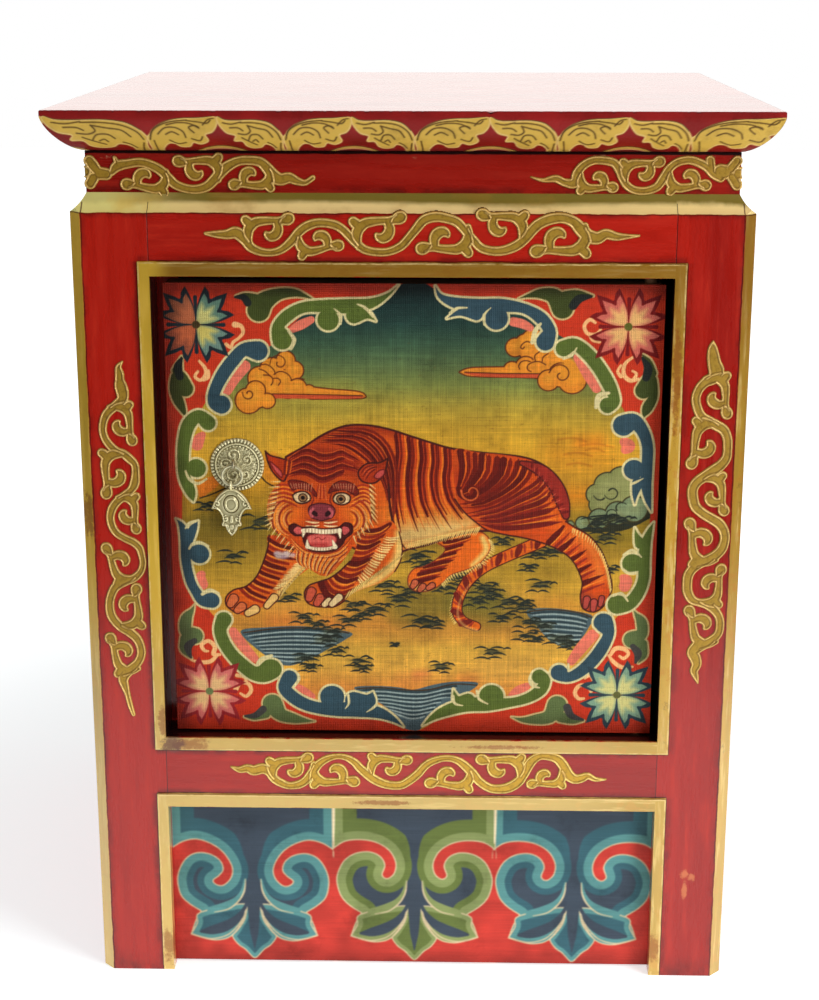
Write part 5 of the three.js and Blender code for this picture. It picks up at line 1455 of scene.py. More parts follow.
def frame_lacquer(name, grain):
    """Red lacquer with gilt chamfers, beads and hollow, painted shade in the reveal and stained edges."""
    g = Graph(name)
    at = FramePlaces(g)
    red, red_rough, red_height = frame_red(g, at, grain)
    gold, gold_rough, gold_height = frame_gold(g, at, grain)
    colour = g.mix(at.gilded, red, gold)
    colour = g.mix(g.times(blot(g, at.x, at.z, *DUSTY_CORNER), 0.8, at.front), colour, DUST)
    bead_edges = g.times(g.lines(at.up, RAIL_BEAD_EDGES, 0.0005, 0.0004, 0.0003), at.between_legs, at.front)
    edges = g.any_of(g.times(g.between(at.across, *LEG_BEAD_EDGE, 0.0003), at.front, at.beside_openings),
                     bead_edges, g.times(g.between(at.across, *LEG_CORNER_EDGE, 0.0003), at.front),
                     g.times(g.between(at.up, *HOLLOW_EDGE, 0.0003), at.front))
    stained = g.times(edges, g.mix_value(g.ramp(g.noise(60, 3), 0.3, 0.6), 0.45, 0.95))
    colour = g.mix(stained, colour, RED_STAIN)
    joint = g.times(g.between(g.math("ABSOLUTE", at.x), *LEG_JOINT, 0.0001), at.front,
                    g.minus(1.0, at.beside_openings))
    colour = g.mix(g.times(joint, 0.85), colour, JOINT_AND_REVEAL_SHADE)
    # Painted shade on the inner faces round the door opening
    colour = g.mix(at.inside, colour, JOINT_AND_REVEAL_SHADE)
    rough = g.mix_value(at.gilded, red_rough, gold_rough)
    metallic = g.times(at.gilded, g.minus(1.0, at.inside), g.mix_value(at.hollow, GOLD_METAL, HOLLOW_METAL))
    height = g.minus(g.mix_value(at.gilded, red_height, gold_height), g.times(joint, 1.5))
    return lacquered(g, colour, rough, metallic, g.bump(height, 0.0004, 0.5))


def painted_metal(name, metallic, rough, wear):
    """Metal or gold paint whose colours lie on the mesh, dark in the hollows."""
    g = Graph(name)
    paint = g.new("ShaderNodeAttribute", attribute_name="paint").outputs["Color"]
    fine = g.noise(420, 3, 0.65)
    grit = g.noise(1500, 2, 0.7)
    colour = g.mix(g.times(g.ramp(fine, 0.55, 0.3), wear), paint, GOLD_STAIN, "MULTIPLY")
    colour = g.mix(g.times(g.ramp(grit, 0.6, 0.78), 0.4), colour, GOLD_STAIN)
    height = g.plus(g.times(fine, 0.6), g.times(grit, 0.4))
    return g.finish(colour, g.mix_value(g.ramp(fine, 0.35, 0.7), rough, rough + 0.14), metallic,
                    g.bump(height, 0.0003, 0.5), coat=0.1)


def waist_lacquer(name, grain):
    """Red lacquer darkened by painted shade from the top's overhang, with a painted shadow just under the
    top and pale flakes along its upper edge.
    """
    g = Graph(name)
    _, _, z = axes(g)
    red, rough, height = red_finish(g, grain, g.times(g.ramp(z, 0.553, 0.548), 0.7))
    # Painted shade cast by the top's overhang
    red = g.mix(0.38, red, WAIST_SHADE)
    # Painted shadow in a band just under the top
    under = g.ramp(g.plus(z, g.times(g.noise(120, 3), 0.001)), 0.5716, 0.5724)
    red = g.mix(under, red, SHADOW_UNDER_TOP)
    flakes = g.times(g.between(z, 0.5686, 0.5712, 0.0006), g.ramp(g.noise(110, 4, 0.7), 0.56, 0.64),
                     g.ramp(g.noise(14, 2), 0.5, 0.56))
    red = g.mix(g.times(flakes, 0.7), red, FLAKE)
    return lacquered(g, red, rough, 0.0, g.bump(height, 0.0003, 0.5))


def painted(name, rough, weave_scale=0.0):
    """Paint whose colours lie on the mesh, over canvas where a weave is given."""
    g = Graph(name)
    paint = g.new("ShaderNodeAttribute", attribute_name="paint").outputs["Color"]
    cloud = g.noise(42, 5, 0.65)
    brush = g.noise(420, 3, 0.6)
    # Random clouds of grime
    grime_and_shade = g.times(g.ramp(cloud, 0.5, 0.8), 0.35)
    colour = g.mix(grime_and_shade, paint, GRIME, "MULTIPLY")
    height = brush
    if weave_scale:
        x, _, z = axes(g)
        jitter = g.times(g.noise(160, 3), 3.0)
        warp = g.math("SINE", g.plus(g.times(x, weave_scale), jitter))
        weft = g.math("SINE", g.plus(g.times(z, weave_scale * 0.94), jitter))
        weave = g.plus(g.times(warp, 0.25), g.times(weft, 0.25))
        thread = g.noise(1100, 2, 0.7, stretch=(1, 1, 0.25))
        thread = g.times(g.plus(thread, g.noise(1100, 2, 0.7, stretch=(0.25, 1, 1))), 0.5)
        dark = g.times(g.ramp(thread, 0.46, 0.38), 0.22)
        colour = g.mix(dark, colour, THREAD_SHADE, "MULTIPLY")
        height = g.plus(g.times(height, 0.4), g.plus(weave, thread))
    return g.finish(colour, rough, 0.0, g.bump(height, 0.0004, 0.7), coat=0.03, coat_roughness=0.25,
                    specular=0.12)


def plain(name, colour, rough, metallic=0.0):
    """One colour with darker clouds."""
    g = Graph(name)
    shade = g.mix(g.times(g.ramp(g.noise(30, 4), 0.3, 0.7), 0.4), colour, tuple(0.6 * c for c in colour))
    return g.finish(shade, rough, metallic, g.bump(g.noise(300, 3), 0.0004, 0.5))


def top_lacquer():
    """The top: three boards of red lacquer with fine seams between them."""
    g = Graph("top_lacquer")
    _, y, _ = axes(g)
    red, rough, height = red_finish(g, ALONG_X)
    seam = g.lines(y, (-TOP_SEAM * MM, TOP_SEAM * MM), 0.0002, 0.0002, 0.0002)
    red = g.mix(g.times(seam, 0.6), red, RED_STAIN)
    height = g.minus(height, seam)
    return lacquered(g, red, rough, 0.0, g.bump(height, 0.0003, 0.2))


# The weave of the canvas, in radians of its waves per metre
WEAVE = 5200
PAINTED = painted("painted_canvas", 0.45, WEAVE)
PAINTED_WOOD = painted("painted_wood", 0.42)
CORNICE_PAINT = painted("painted_cornice", 0.36)
LEG_LACQUER = frame_lacquer("leg_lacquer", ALONG_Z)
RAIL_LACQUER = frame_lacquer("rail_lacquer", ALONG_X)
SIDE_RAIL_LACQUER = frame_lacquer("side_rail_lacquer", ALONG_Y)
WAIST_LACQUER = waist_lacquer("waist_lacquer", ALONG_X)
SIDE_WAIST_LACQUER = waist_lacquer("side_waist_lacquer", ALONG_Y)
PANEL_LACQUER = lacquer("panel_lacquer", ALONG_Z)
APRON_LACQUER = lacquer("apron_lacquer", ALONG_Y)
TOP_LACQUER = top_lacquer()
GILT = painted_metal("gilt", 0.3, 0.36, 0.3)
WOOD = plain("inner_wood", (150, 104, 66), 0.7)
BRASS = plain("pale_brass", (224, 214, 174), 0.28, 0.6)
CAST_BRASS = painted_metal("cast_brass", 0.4, 0.28, 0.12)
IRON = plain("iron", (176, 166, 136), 0.32, 0.85)


def dress(material, *names):
    """Gives every CAD node whose name starts with one of the names this material."""
    for node_name, node in NODES.items():
        if node_name.startswith(names):
            node.data.materials.clear()
            node.data.materials.append(material)


dress(LEG_LACQUER, "leg_")
dress(RAIL_LACQUER, "top_rail_front", "top_rail_back", "bottom_rail_front", "bottom_rail_back")
dress(SIDE_RAIL_LACQUER, "top_rail_left", "top_rail_right", "bottom_rail_left", "bottom_rail_right")
dress(WAIST_LACQUER, "waist_front", "waist_back")
dress(SIDE_WAIST_LACQUER, "waist_left", "waist_right")
dress(PANEL_LACQUER, "side_panel_", "back_board_", "door_stop")
dress(APRON_LACQUER, "apron_left", "apron_right")
dress(WOOD, "floor_", "door_board_", "door_batten_", "door_pivot_")
dress(BRASS, "pull_")
dress(IRON, "pull_staple")


def round_edges(radius, *names):
    """Rounds the sharp edges of the CAD nodes whose names start like this."""
    for node_name, node in NODES.items():
        if node_name.startswith(names):
            bevel = node.modifiers.new("worn_edges", "BEVEL")
            bevel.width = radius * MM
            bevel.segments = 2
            bevel.limit_method = "ANGLE"
            bevel.angle_limit = math.radians(35)
            bevel.harden_normals = False


round_edges(0.7, "leg_", "top_rail_", "bottom_rail_", "waist_")


# Meshes
def add_mesh(name, vertices, faces, materials, body, replaced=(), paint=None, sharp=38):
    """A closed piece from vertices in millimetres; its faces turn outwards."""
    mesh = bpy.data.meshes.new(name)
    mesh.from_pydata((np.asarray(vertices, float) * MM).tolist(), [], faces)
    if paint is not None:
        layer = mesh.color_attributes.new("paint", "FLOAT_COLOR", "POINT")
        rgba = np.ones((len(vertices), 4), np.float32)
        rgba[:, :3] = linear(paint)
        layer.data.foreach_set("color", rgba.ravel())
    mesh.polygons.foreach_set("use_smooth", [True] * len(mesh.polygons))
    mesh.set_sharp_from_angle(angle=math.radians(sharp))
    mesh.update()
    mesh.validate()
    for material in materials:
        mesh.materials.append(material)
    piece = bpy.data.objects.new(name, mesh)
    bpy.context.scene.collection.objects.link(piece)
    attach(piece, body)
    if replaced:
        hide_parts(*replaced)
    return piece


def grid_faces(rows, cols):
    """Quads of a grid of vertices numbered row by row."""
    corner = (np.arange(rows - 1)[:, None] * cols + np.arange(cols - 1)[None, :]).ravel()
    return np.column_stack([corner, corner + 1, corner + cols + 1, corner + cols]).tolist()


def ring_faces(levels, around):
    """Quads between closed rings of vertices numbered one ring after another."""
    index = np.arange(around)
    following = np.roll(index, -1)
    quads = [np.column_stack([low + index, low + following, low + around + following, low + around + index])
             for low in range(0, (levels - 1) * around, around)]
    return np.vstack(quads).tolist()


def painted_slab(name, picture, place, back, material, body, replaced):
    """A flat painted sheet: the picture's grid in front, walls round it and a flat back."""
    rows, cols = picture.colour.shape[:2]
    u, v = np.meshgrid(picture.u, picture.v)
    front = place(u.ravel(), v.ravel())
    rim = np.concatenate([np.arange(cols), np.arange(1, rows) * cols + cols - 1,
                          (rows - 1) * cols + np.arange(cols - 2, -1, -1),
                          np.arange(rows - 2, 0, -1) * cols])
    behind = front[rim].copy()
    behind[:, 1] = back
    count = len(front)
    ring = np.arange(len(rim))
    following = np.roll(ring, -1)
    walls = np.column_stack([rim[following], rim[ring], count + ring, count + following])
    faces = grid_faces(rows, cols) + walls.tolist() + [(count + ring[::-1]).tolist()]
    colours = picture.colour.reshape(-1, 3)
    colours = np.vstack([colours, colours[rim]])
    return add_mesh(name, np.vstack([front, behind]), faces, [material], body, replaced, colours)


def sheet_place(left, bottom, y):
    """A function that gives the points of a flat sheet facing the front."""
    def place(u, v):
        """Points for places to the right and up on the sheet."""
        return np.column_stack([u + left, np.full(u.shape, y), v + bottom])
    return place


def add_door_painting():
    """The painted canvas, glued on the door's boards."""
    picture = paint_door()
    painted_slab("door_painting", picture, sheet_place(CANVAS_X[0], CANVAS_Z[0], CANVAS_Y), CANVAS_BACK,
                 PAINTED, "door", ["door_canvas"])


def add_apron_painting():
    """The painted front apron."""
    picture = paint_apron()
    painted_slab("apron_painting", picture, sheet_place(-APRON_LEFT, 0, APRON_Y), APRON_BACK, PAINTED_WOOD,
                 "cabinet", ["apron_front"])


# The top's edge where it is not painted, its shaded foot, and a chip in the front edge
CORNICE_PLAIN = (140, 28, 20)
CORNICE_SHADE = (40, 12, 10)
CHIP_X = 49
ARRIS = 0.9


def cornice_profile():
    """The top's edge from below to its flat: out from the waist, height, and way up the painting."""
    rim_z = TOP_Z[1] - LIP_RISE
    out, rise = TOP_X - WAIST_X, rim_z - COVE_FOOT_Z
    turn = np.linspace(math.pi / 2, 0, int(COVE_ARC / CORNICE_STEP) + 1)
    swell = out * np.cos(turn) ** COVE_SWELL
    fall = rise * np.sin(turn) ** COVE_SWELL
    profile = [(-4, TOP_Z[0], 0), (-2, COVE_FOOT_Z - 0.2, 0)]
    profile += list(zip(swell, rim_z - fall, np.linspace(0, COVE_ARC, len(turn))))
    profile += [(out, z, COVE_ARC + z - rim_z) for z in np.linspace(rim_z + 0.5, TOP_Z[1] - ARRIS, 5)]
    profile += [(out - ARRIS * (1 - math.cos(a)), TOP_Z[1] - ARRIS * (1 - math.sin(a)), COVE_ARC + LIP_RISE)
                for a in np.radians((30, 60, 90))]
    return profile + [(out - inset, TOP_Z[1], COVE_ARC + LIP_RISE) for inset in (3, 6)]


def picture_row(picture, v, along):
    """Colours of a picture at one height, at places along it."""
    row = min(len(picture.v) - 1, int(round(v / picture.v[-1] * (len(picture.v) - 1))))
    return np.column_stack([np.interp(along, picture.u, picture.colour[row, :, i]) for i in range(3)])


def cornice_rings(profile, runs):
    """Vertices and colours of the rings round the top, each from the left front corner over four runs."""
    vertices, colours = [], []
    for out_by, z, v in profile:
        half_x, half_y = WAIST_X + out_by, -WAIST_Y + out_by
        ring = [(-half_x, -half_y), (half_x, -half_y), (half_x, half_y), (-half_x, half_y),
                (-half_x, -half_y)]
        for side, (picture, count) in enumerate(runs):
            share = np.arange(count) / count
            start, end = ring[side], ring[side + 1]
            x = start[0] + (end[0] - start[0]) * share
            y = start[1] + (end[1] - start[1]) * share
            vertices.append(np.column_stack([x, y, np.full(count, z)]))
            if picture is None:
                colours.append(np.tile(CORNICE_PLAIN, (count, 1)))
            else:
                colours.append(picture_row(picture, v, x if side == 0 else y))
    return np.vstack(vertices), np.vstack(colours)


def shade_and_wear_top(vertices, colours):
    """Shades the underside, and chips and nicks the front edge of the top."""
    colours[vertices[:, 2] < COVE_FOOT_Z - 0.05] = CORNICE_SHADE
    edge_points = (vertices[:, 2] > TOP_Z[1] - 1.4) & (np.abs(vertices[:, 1] + TOP_DEPTH) < 1.2)
    chip = np.clip(1 - np.abs(vertices[:, 0] - CHIP_X) / 2.6, 0, 1) * edge_points
    steps = 331
    heights = np.random.default_rng(91).random(steps) ** 6
    nicks = np.interp(vertices[:, 0], np.linspace(-TOP_X, TOP_X, steps), heights)
    vertices[:, 2] -= 0.9 * chip + 0.35 * nicks * edge_points
    bared = 0.75 * np.maximum(chip, 0.5 * nicks * edge_points)[:, None]
    colours += bared * (np.array(CORNICE_SHADE) - colours)


def add_top():
    """The three top boards as one piece: the painted cornice round the edge, plain boards above."""
    columns = int(2 * TOP_X / CORNICE_STEP)
    side_columns = int(2 * TOP_DEPTH / CORNICE_STEP)
    front, side = paint_cornice_front(), paint_cornice_side()
    runs = [(front, columns), (side, side_columns), (None, 60), (side, side_columns)]
    profile = cornice_profile()
    vertices, colours = cornice_rings(profile, runs)
    shade_and_wear_top(vertices, colours)
    around = sum(count for _, count in runs)
    levels = len(profile)
    index = np.arange(around)
    faces = ring_faces(levels, around)
    faces.append(index[::-1].tolist())
    faces.append(((levels - 1) * around + index).tolist())
    piece = add_mesh("painted_top", vertices, faces, [CORNICE_PAINT, TOP_LACQUER], "cabinet",
                     ["top_board_front", "top_board_middle", "top_board_back"], colours)
    flat = [*range((levels - 3) * around, (levels - 1) * around), len(faces) - 1]
    for number in flat:
        piece.data.polygons[number].material_index = 1


# Raised scrolls
def kept_cells(near):
    """Cells whose corners are all near, the corners that they use, and the numbers of those corners."""
    kept = near[:-1, :-1] & near[1:, :-1] & near[:-1, 1:] & near[1:, 1:]
    rows, cols = near.shape
    used = np.zeros(near.shape, bool)
    for dr in (0, 1):
        for dc in (0, 1):
            used[dr:rows - 1 + dr, dc:cols - 1 + dc] |= kept
    number = np.full(near.shape, -1)
    number[used] = np.arange(used.sum())
    return kept, used, number


def closed_grid(number, kept, count):
    """Faces of the kept cells, of a copy behind them numbered from count, and of the walls between."""
    a, b, c, d = (number[:-1, :-1], number[:-1, 1:], number[1:, 1:], number[1:, :-1])
    faces = np.column_stack([x[kept] for x in (a, b, c, d)])
    backs = faces[:, ::-1] + count
    wide = np.pad(kept, 1)
    walls = []
    for (dr, dc), (p, q) in (((-1, 0), (a, b)), ((0, 1), (b, c)), ((1, 0), (c, d)), ((0, -1), (d, a))):
        open_side = kept & ~wide[1 + dr:1 + dr + kept.shape[0], 1 + dc:1 + dc + kept.shape[1]]
        p, q = p[open_side], q[open_side]
        walls.append(np.column_stack([q, p, p + count, q + count]))
    return np.vstack([faces, backs, *walls]).tolist()


# One leaf of a scroll, from the middle of its hook: body with knob, shoulder, hook and two creases
LEAF_BODY = [(-8.6, -7.6, 2), (-10, -2, 3), (-9.2, 3.4, 3.4), (-5, 7.6, 3.1), (0.5, 9, 2.7), (6, 9.6, 2.4),
             (11, 9.8, 2.5), (14.6, 10.5, 2.9), (17.2, 11.6, 3.7), (18.2, 12, 3.6)]
LEAF_SHOULDER = [(-7, 5.5, 3), (-10.6, 7.4, 3.2), (-12.2, 8.8, 2.9)]
LEAF_HOOK = [(10, 8.4, 2.6), (11.2, 4.4, 3.1), (10, 0.6, 3.4), (7, -1.4, 3.1), (4.2, -0.9, 2.3),
             (2.8, 0.6, 1.3)]
LEAF_CREASE = [(-14.2, 4.4, 0), (-13.2, 0.6, 0), (-11.6, -3.2, 0), (-9, -6.4, 0)]
LEAF_FOLD = [(15.4, 13.6, 0), (13.2, 11.6, 0), (12.2, 9, 0)]
LEAF_KNOB = (17.6, 11.3)
RELIEF_STEP = 0.42
RELIEF_FILL = 0.5
RELIEF_RIDGE = 0.75
RELIEF_ROOT = 1.0
SCROLL_FIELD = (176, 136, 40)
# Painted highlight on the rims, painted shade in the grooves and painted shadow round the foot
SCROLL_RIM_HIGHLIGHT = (240, 200, 124)
SCROLL_GROOVE_SHADE = (92, 60, 20)
SCROLL_FOOT_SHADOW = (54, 12, 8)


def place_leaf(strokes, leaf):
    """The shared leaf's strokes, turned, scaled and mirrored so that hook and knob lie where leaf says."""
    hook, knob, side = leaf
    own = complex(LEAF_KNOB[0], side * LEAF_KNOB[1])
    turn = complex(knob[0] - hook[0], knob[1] - hook[1]) / own
    placed = []
    for stroke in strokes:
        spots = [(complex(u, side * v) * turn, radius * (0.64 + 0.56 * abs(turn))) for u, v,
                 radius in stroke]
        placed.append([(hook[0] + spot.real, hook[1] + spot.imag, radius) for spot, radius in spots])
    return placed


def relief_height(u, v, strokes, creases):
    """Height above the ground, distance outside the outline, and the rim's and groove's shares."""
    whole = np.min([path_distance(u, v, smooth(stroke)) for stroke in strokes], axis=0)
    fold = np.min([path_distance(u, v, smooth(crease)) for crease in creases], axis=0)
    inside = np.clip(-(whole + 0.9) / 0.6, 0, 1)
    rim = np.maximum(np.exp(-((whole + 0.8) / 0.46) ** 2), 0.9 * inside * np.exp(-(fold / 0.42) ** 2))
    groove = np.maximum(np.exp(-((whole + 1.75) / 0.36) ** 2), inside * np.exp(-((fold - 1) / 0.36) ** 2))
    height = np.where(whole < 0, RELIEF_FILL * np.clip(-whole / 0.4, 0, 1),
                      -0.5 * np.clip(whole / 0.5, 0, 1))
    height += RELIEF_RIDGE * rim * (whole < 0.1) - 0.12 * groove
    return height, whole, rim, groove * (whole < 0)


def relief_colours(whole, shade, groove):
    """Painted highlight along the raised rim, olive in the field, painted shade in the grooves and painted
    shadow at the foot.
    """
    colour = np.array(SCROLL_FIELD) + shade[:, None] * (np.array(SCROLL_RIM_HIGHLIGHT) - SCROLL_FIELD)
    colour += 0.4 * groove[:, None] * (np.array(SCROLL_GROOVE_SHADE) - colour)
    # Painted shadow at the foot, round the scroll
    foot = np.clip((whole + 0.15) / 0.4, 0, 1)[:, None]
    return colour + foot * (np.array(SCROLL_FOOT_SHADOW) - colour)


def add_relief(name, stems, leaves, place):
    """Scrolls modelled in gesso, standing on a surface that place maps (u, v, height) to."""
    stems = [[(u, v, 1.12 * radius + 0.15) for u, v, radius in stem] for stem in stems]
    strokes = stems + [s for leaf in leaves for s in place_leaf([LEAF_BODY, LEAF_SHOULDER, LEAF_HOOK],
                                                                leaf)]
    creases = [s for leaf in leaves for s in place_leaf([LEAF_CREASE, LEAF_FOLD], leaf)]
    points = np.array([point[:2] for stroke in strokes for point in stroke])
    low, high = points.min(0) - 6, points.max(0) + 6
    cols = int((high[0] - low[0]) / RELIEF_STEP) + 1
    rows = int((high[1] - low[1]) / RELIEF_STEP) + 1
    u, v = np.meshgrid(low[0] + RELIEF_STEP * np.arange(cols), low[1] + RELIEF_STEP * np.arange(rows))
    height, whole, shade, groove = relief_height(u.astype(np.float32), v.astype(np.float32), strokes,
                                                 creases)
    kept, used, number = kept_cells(whole < 0.55)
    top = place(u[used], v[used], height[used])
    bottom = place(u[used], v[used], np.full(used.sum(), -RELIEF_ROOT))
    count = len(top)
    faces = closed_grid(number, kept, count)
    colours = relief_colours(whole[used], shade[used], groove[used])
    # Painted light on the lower scrolls, as from the pale floor
    painted_light_below = 1 + 0.2 * np.clip((260 - v[used]) / 120, 0, 1)[:, None]
    colours = np.minimum(colours * painted_light_below, 250)
    return add_mesh(name, np.vstack([top, bottom]), faces, [GILT], "cabinet", (),
                    np.vstack([colours] * 2), 60)


def front_place(u, v, height):
    """Points on the front of the rails and legs."""
    return np.column_stack([u, FRONT_Y - height, v])


def waist_place(u, v, height):
    """Runs along the waist's front and turns its corners on to the sides."""
    over = np.abs(u) - WAIST_X
    side = np.sign(u)
    bend = np.clip(over / 1.2 + 0.5, 0, 1) * math.pi / 2
    x = np.where(over < 0, u, side * WAIST_X) + side * height * np.sin(bend)
    y = WAIST_Y + np.maximum(over, 0) - height * np.cos(bend)
    return np.column_stack([x, y, v])


# Pull: cast rosette, ring and leaf drop
BRASS_PALE = (242, 232, 186)
BRASS_DARK = (96, 82, 40)
PLATE_X = sum(span("pull_backplate", 0)) / 2
PLATE_Z = sum(span("pull_backplate", 2)) / 2
PLATE_RADIUS = PLATE_X - span("pull_backplate", 0)[0]
PLATE_TOP = CANVAS_Y - span("pull_backplate", 1)[0]
DROP_X = sum(span("pull_drop", 0)) / 2
DROP_BACK = span("pull_drop", 1)[1] - 2.4
DROP_BOTTOM = span("pull_drop", 2)[0]
DROP_LENGTH = 33.0
LOOP_RADIUS = 2.2
LOOP_WIRE = 0.8
LOOP_Z = span("pull_drop", 2)[1] - LOOP_RADIUS - LOOP_WIRE
RING_X, RING_Y, RING_Z = (sum(span("pull_ring", axis)) / 2 for axis in range(3))
PLATE_RIBS = 46
# Embossed curls of the rosette: radius, distance from the middle and direction in degrees
PLATE_CURLS = [(4, 7.6, 30), (5, 7.4, 110), (4, 7.8, 175), (5, 7.2, 250), (4, 8, 310)]


def plate_height(x, z):
    """Height of the rosette: a milled rim, a plain ring and a dome of embossed curls."""
    radius, angle = np.hypot(x, z), np.arctan2(z, x)
    edge = PLATE_RADIUS - radius
    rim_inner, dome_radius = 0.86 * PLATE_RADIUS, 0.73 * PLATE_RADIUS
    rim = 1.5 * np.clip(edge / 0.9, 0, 1) ** 0.5
    ribs = 0.3 * np.cos(PLATE_RIBS * angle) * np.clip(edge / 0.6, 0, 1) * (radius > rim_inner)
    ring = 1.3 * np.exp(-((radius - 0.79 * PLATE_RADIUS) / 0.75) ** 2)
    beads = 0.35 * np.cos(36 * angle) * np.exp(-((radius - 0.7 * PLATE_RADIUS) / 0.5) ** 2)
    inner = radius < dome_radius
    dome = np.where(inner, 1.1 + 0.9 * np.cos(np.clip(radius / dome_radius, 0, 1) * math.pi / 2),
                    0.9)
    height = np.where(radius > rim_inner, rim + ribs, dome + ring + beads)
    for size, reach, turn in PLATE_CURLS:
        a = math.radians(turn)
        curl = spiral((reach * math.cos(a), reach * math.sin(a)), (size, 0.6), (turn + 200, turn + 620),
                      (0.35, 0.95), 16)
        distance = path_distance(x, z, np.array(curl))
        height = np.maximum(height, np.where(inner, dome + 0.85 * np.clip(0.5 - distance / 0.7, 0, 1), 0))
    petals = 0.5 * np.clip(np.cos(6 * angle + 0.4), 0, 1) * np.exp(-((radius - 3.4) / 1.3) ** 2)
    petals += 0.45 * np.abs(np.cos(7 * angle)) ** 0.6 * np.exp(-((radius - 0.6 * PLATE_RADIUS) / 1.4) ** 2)
    dents = 0.16 * np.sin(2.3 * x + 1.4 * np.sin(1.7 * z)) * np.sin(2.5 * z + 1.2 * np.sin(1.9 * x))
    hollow = 0.9 * np.exp(-(np.hypot(x - RING_X + PLATE_X, z - RING_Z + PLATE_Z) / 3.6) ** 4)
    return np.clip(height + petals + dents - hollow, 0.2, PLATE_TOP - 0.1)


def hollow_colours(height, around):
    """Pale on what stands out and dark in what lies below its surroundings."""
    lift = np.clip(1.5 * (height - around) + 0.66, 0, 1)[:, None]
    return np.array(BRASS_DARK) + lift * (np.array(BRASS_PALE) - BRASS_DARK)


def add_plate():
    """The rosette: rings of vertices round a middle point, a wall and a flat back."""
    rings, turns = 84, 276
    radius = np.linspace(0, PLATE_RADIUS, rings)[1:]
    angle = np.linspace(0, 2 * math.pi, turns, endpoint=False)
    r, a = np.meshgrid(radius, angle, indexing="ij")
    x, z = r * np.cos(a), r * np.sin(a)
    height = plate_height(x, z)
    padded = np.vstack([height[:1]] * 3 + [height] + [height[-1:]] * 3)
    around = sum(padded[i:i + len(height)] for i in range(7)) / 7
    around = (np.roll(around, 3, 1) + np.roll(around, -3, 1) + around) / 3
    points = [np.column_stack([PLATE_X + x.ravel(), CANVAS_Y - height.ravel(), PLATE_Z + z.ravel()])]
    points.append([[PLATE_X, CANVAS_Y - PLATE_TOP + 0.1, PLATE_Z]])
    last = (rings - 2) * turns
    rim = points[0][last:last + turns].copy()
    rim[:, 1] = CANVAS_Y
    points.append(rim)
    index = np.arange(turns)
    following = np.roll(index, -1)
    faces = ring_faces(rings - 1, turns)
    centre = (rings - 1) * turns
    faces += np.column_stack([np.full(turns, centre), following, index]).tolist()
    back = centre + 1
    faces += np.column_stack([last + index, last + following, back + following, back + index]).tolist()
    faces.append((back + index[::-1]).tolist())
    colours = np.vstack([hollow_colours(height.ravel(), around.ravel()), [BRASS_PALE],
                         np.tile(BRASS_DARK, (turns, 1))])
    piece = add_mesh("rosette", np.vstack(points), faces, [CAST_BRASS], "door",
                     ["pull_backplate"], colours)
    turn_outwards(piece)


def turn_outwards(piece):
    """Turns every face of a closed piece outwards."""
    work = bmesh.new()
    work.from_mesh(piece.data)
    bmesh.ops.recalc_face_normals(work, faces=work.faces)
    work.to_mesh(piece.data)
    work.free()


# Half of the drop's outline: out from the middle, and down from the top
DROP_HALF = [(0, 0), (2.4, 0.2), (4.6, 1.3), (7.6, 3.7), (10.6, 7.4), (12.6, 11.4), (13.5, 14.3),
             (13.5, 14.3), (11, 14.3), (9.2, 14.9), (7.5, 17), (6.4, 19.8), (6.1, 22.2), (6.8, 24.4),
             (6.2, 25.9), (4.4, 26.4), (3.6, 28.4), (2, 31), (0, 32.9)]


def drop_height(x, down, distance):
    """Height of the leaf drop: a raised rim, an oval boss with a ring, curls and dots."""
    height = np.clip(-distance / 0.5, 0, 1) ** 0.5 * 1.0
    height += 0.75 * np.exp(-((distance + 0.95) / 0.42) ** 2)
    oval = np.hypot(x / 0.85, down - 10.6)
    height += 1.1 * np.clip(1 - (oval / 5.6) ** 2, 0, 1) ** 0.5
    height += 0.55 * np.exp(-((oval - 4.1) / 0.45) ** 2) - 0.5 * np.exp(-((oval - 6) / 0.4) ** 2)
    curls = []
    for side in (-1, 1):
        curls.append(spiral((side * 9.3, 10.6), (2.6, 0.5), (90, 90 - side * 420), (0.3, 0.6), 14))
        curls.append(spiral((side * 3.9, 20.8), (2.2, 0.5), (-90, -90 + side * 400), (0.3, 0.6), 14))
        curls.append([(side * 1.6, 28.6, 0.5), (side * 2.6, 25.6, 0.6), (side * 4.6, 24.4, 0.6)])
        curls.append([(side * 4.6, 4.2, 0.5), (side * 7.4, 7.2, 0.6), (side * 8.6, 8.2, 0.4)])
    curls.append([(0, 26.4, 1.5), (0, 26.6, 1.5)])
    curls.append([(0, 19.6, 0.8), (0, 22.4, 1.1)])
    for curl in curls:
        gap = path_distance(x, down, np.array(curl))
        height += 0.6 * np.clip(0.5 - gap / 0.6, 0, 1)
    return height


def tube_ring(centre, radius, wire, steps=40, sides=12):
    """Vertices and quads of a ring in the plane across x."""
    a, b = np.meshgrid(np.linspace(0, 2 * math.pi, steps, endpoint=False),
                       np.linspace(0, 2 * math.pi, sides, endpoint=False), indexing="ij")
    out = radius + wire * np.cos(b)
    points = np.column_stack([(centre[0] + wire * np.sin(b)).ravel(), (centre[1] + out * np.cos(a)).ravel(),
                              (centre[2] + out * np.sin(a)).ravel()])
    i, j = np.meshgrid(np.arange(steps), np.arange(sides), indexing="ij")
    i, j = i.ravel(), j.ravel()
    ahead, beside = (i + 1) % steps, (j + 1) % sides
    return points, np.column_stack([i * sides + j, ahead * sides + j, ahead * sides + beside,
                                    i * sides + beside])


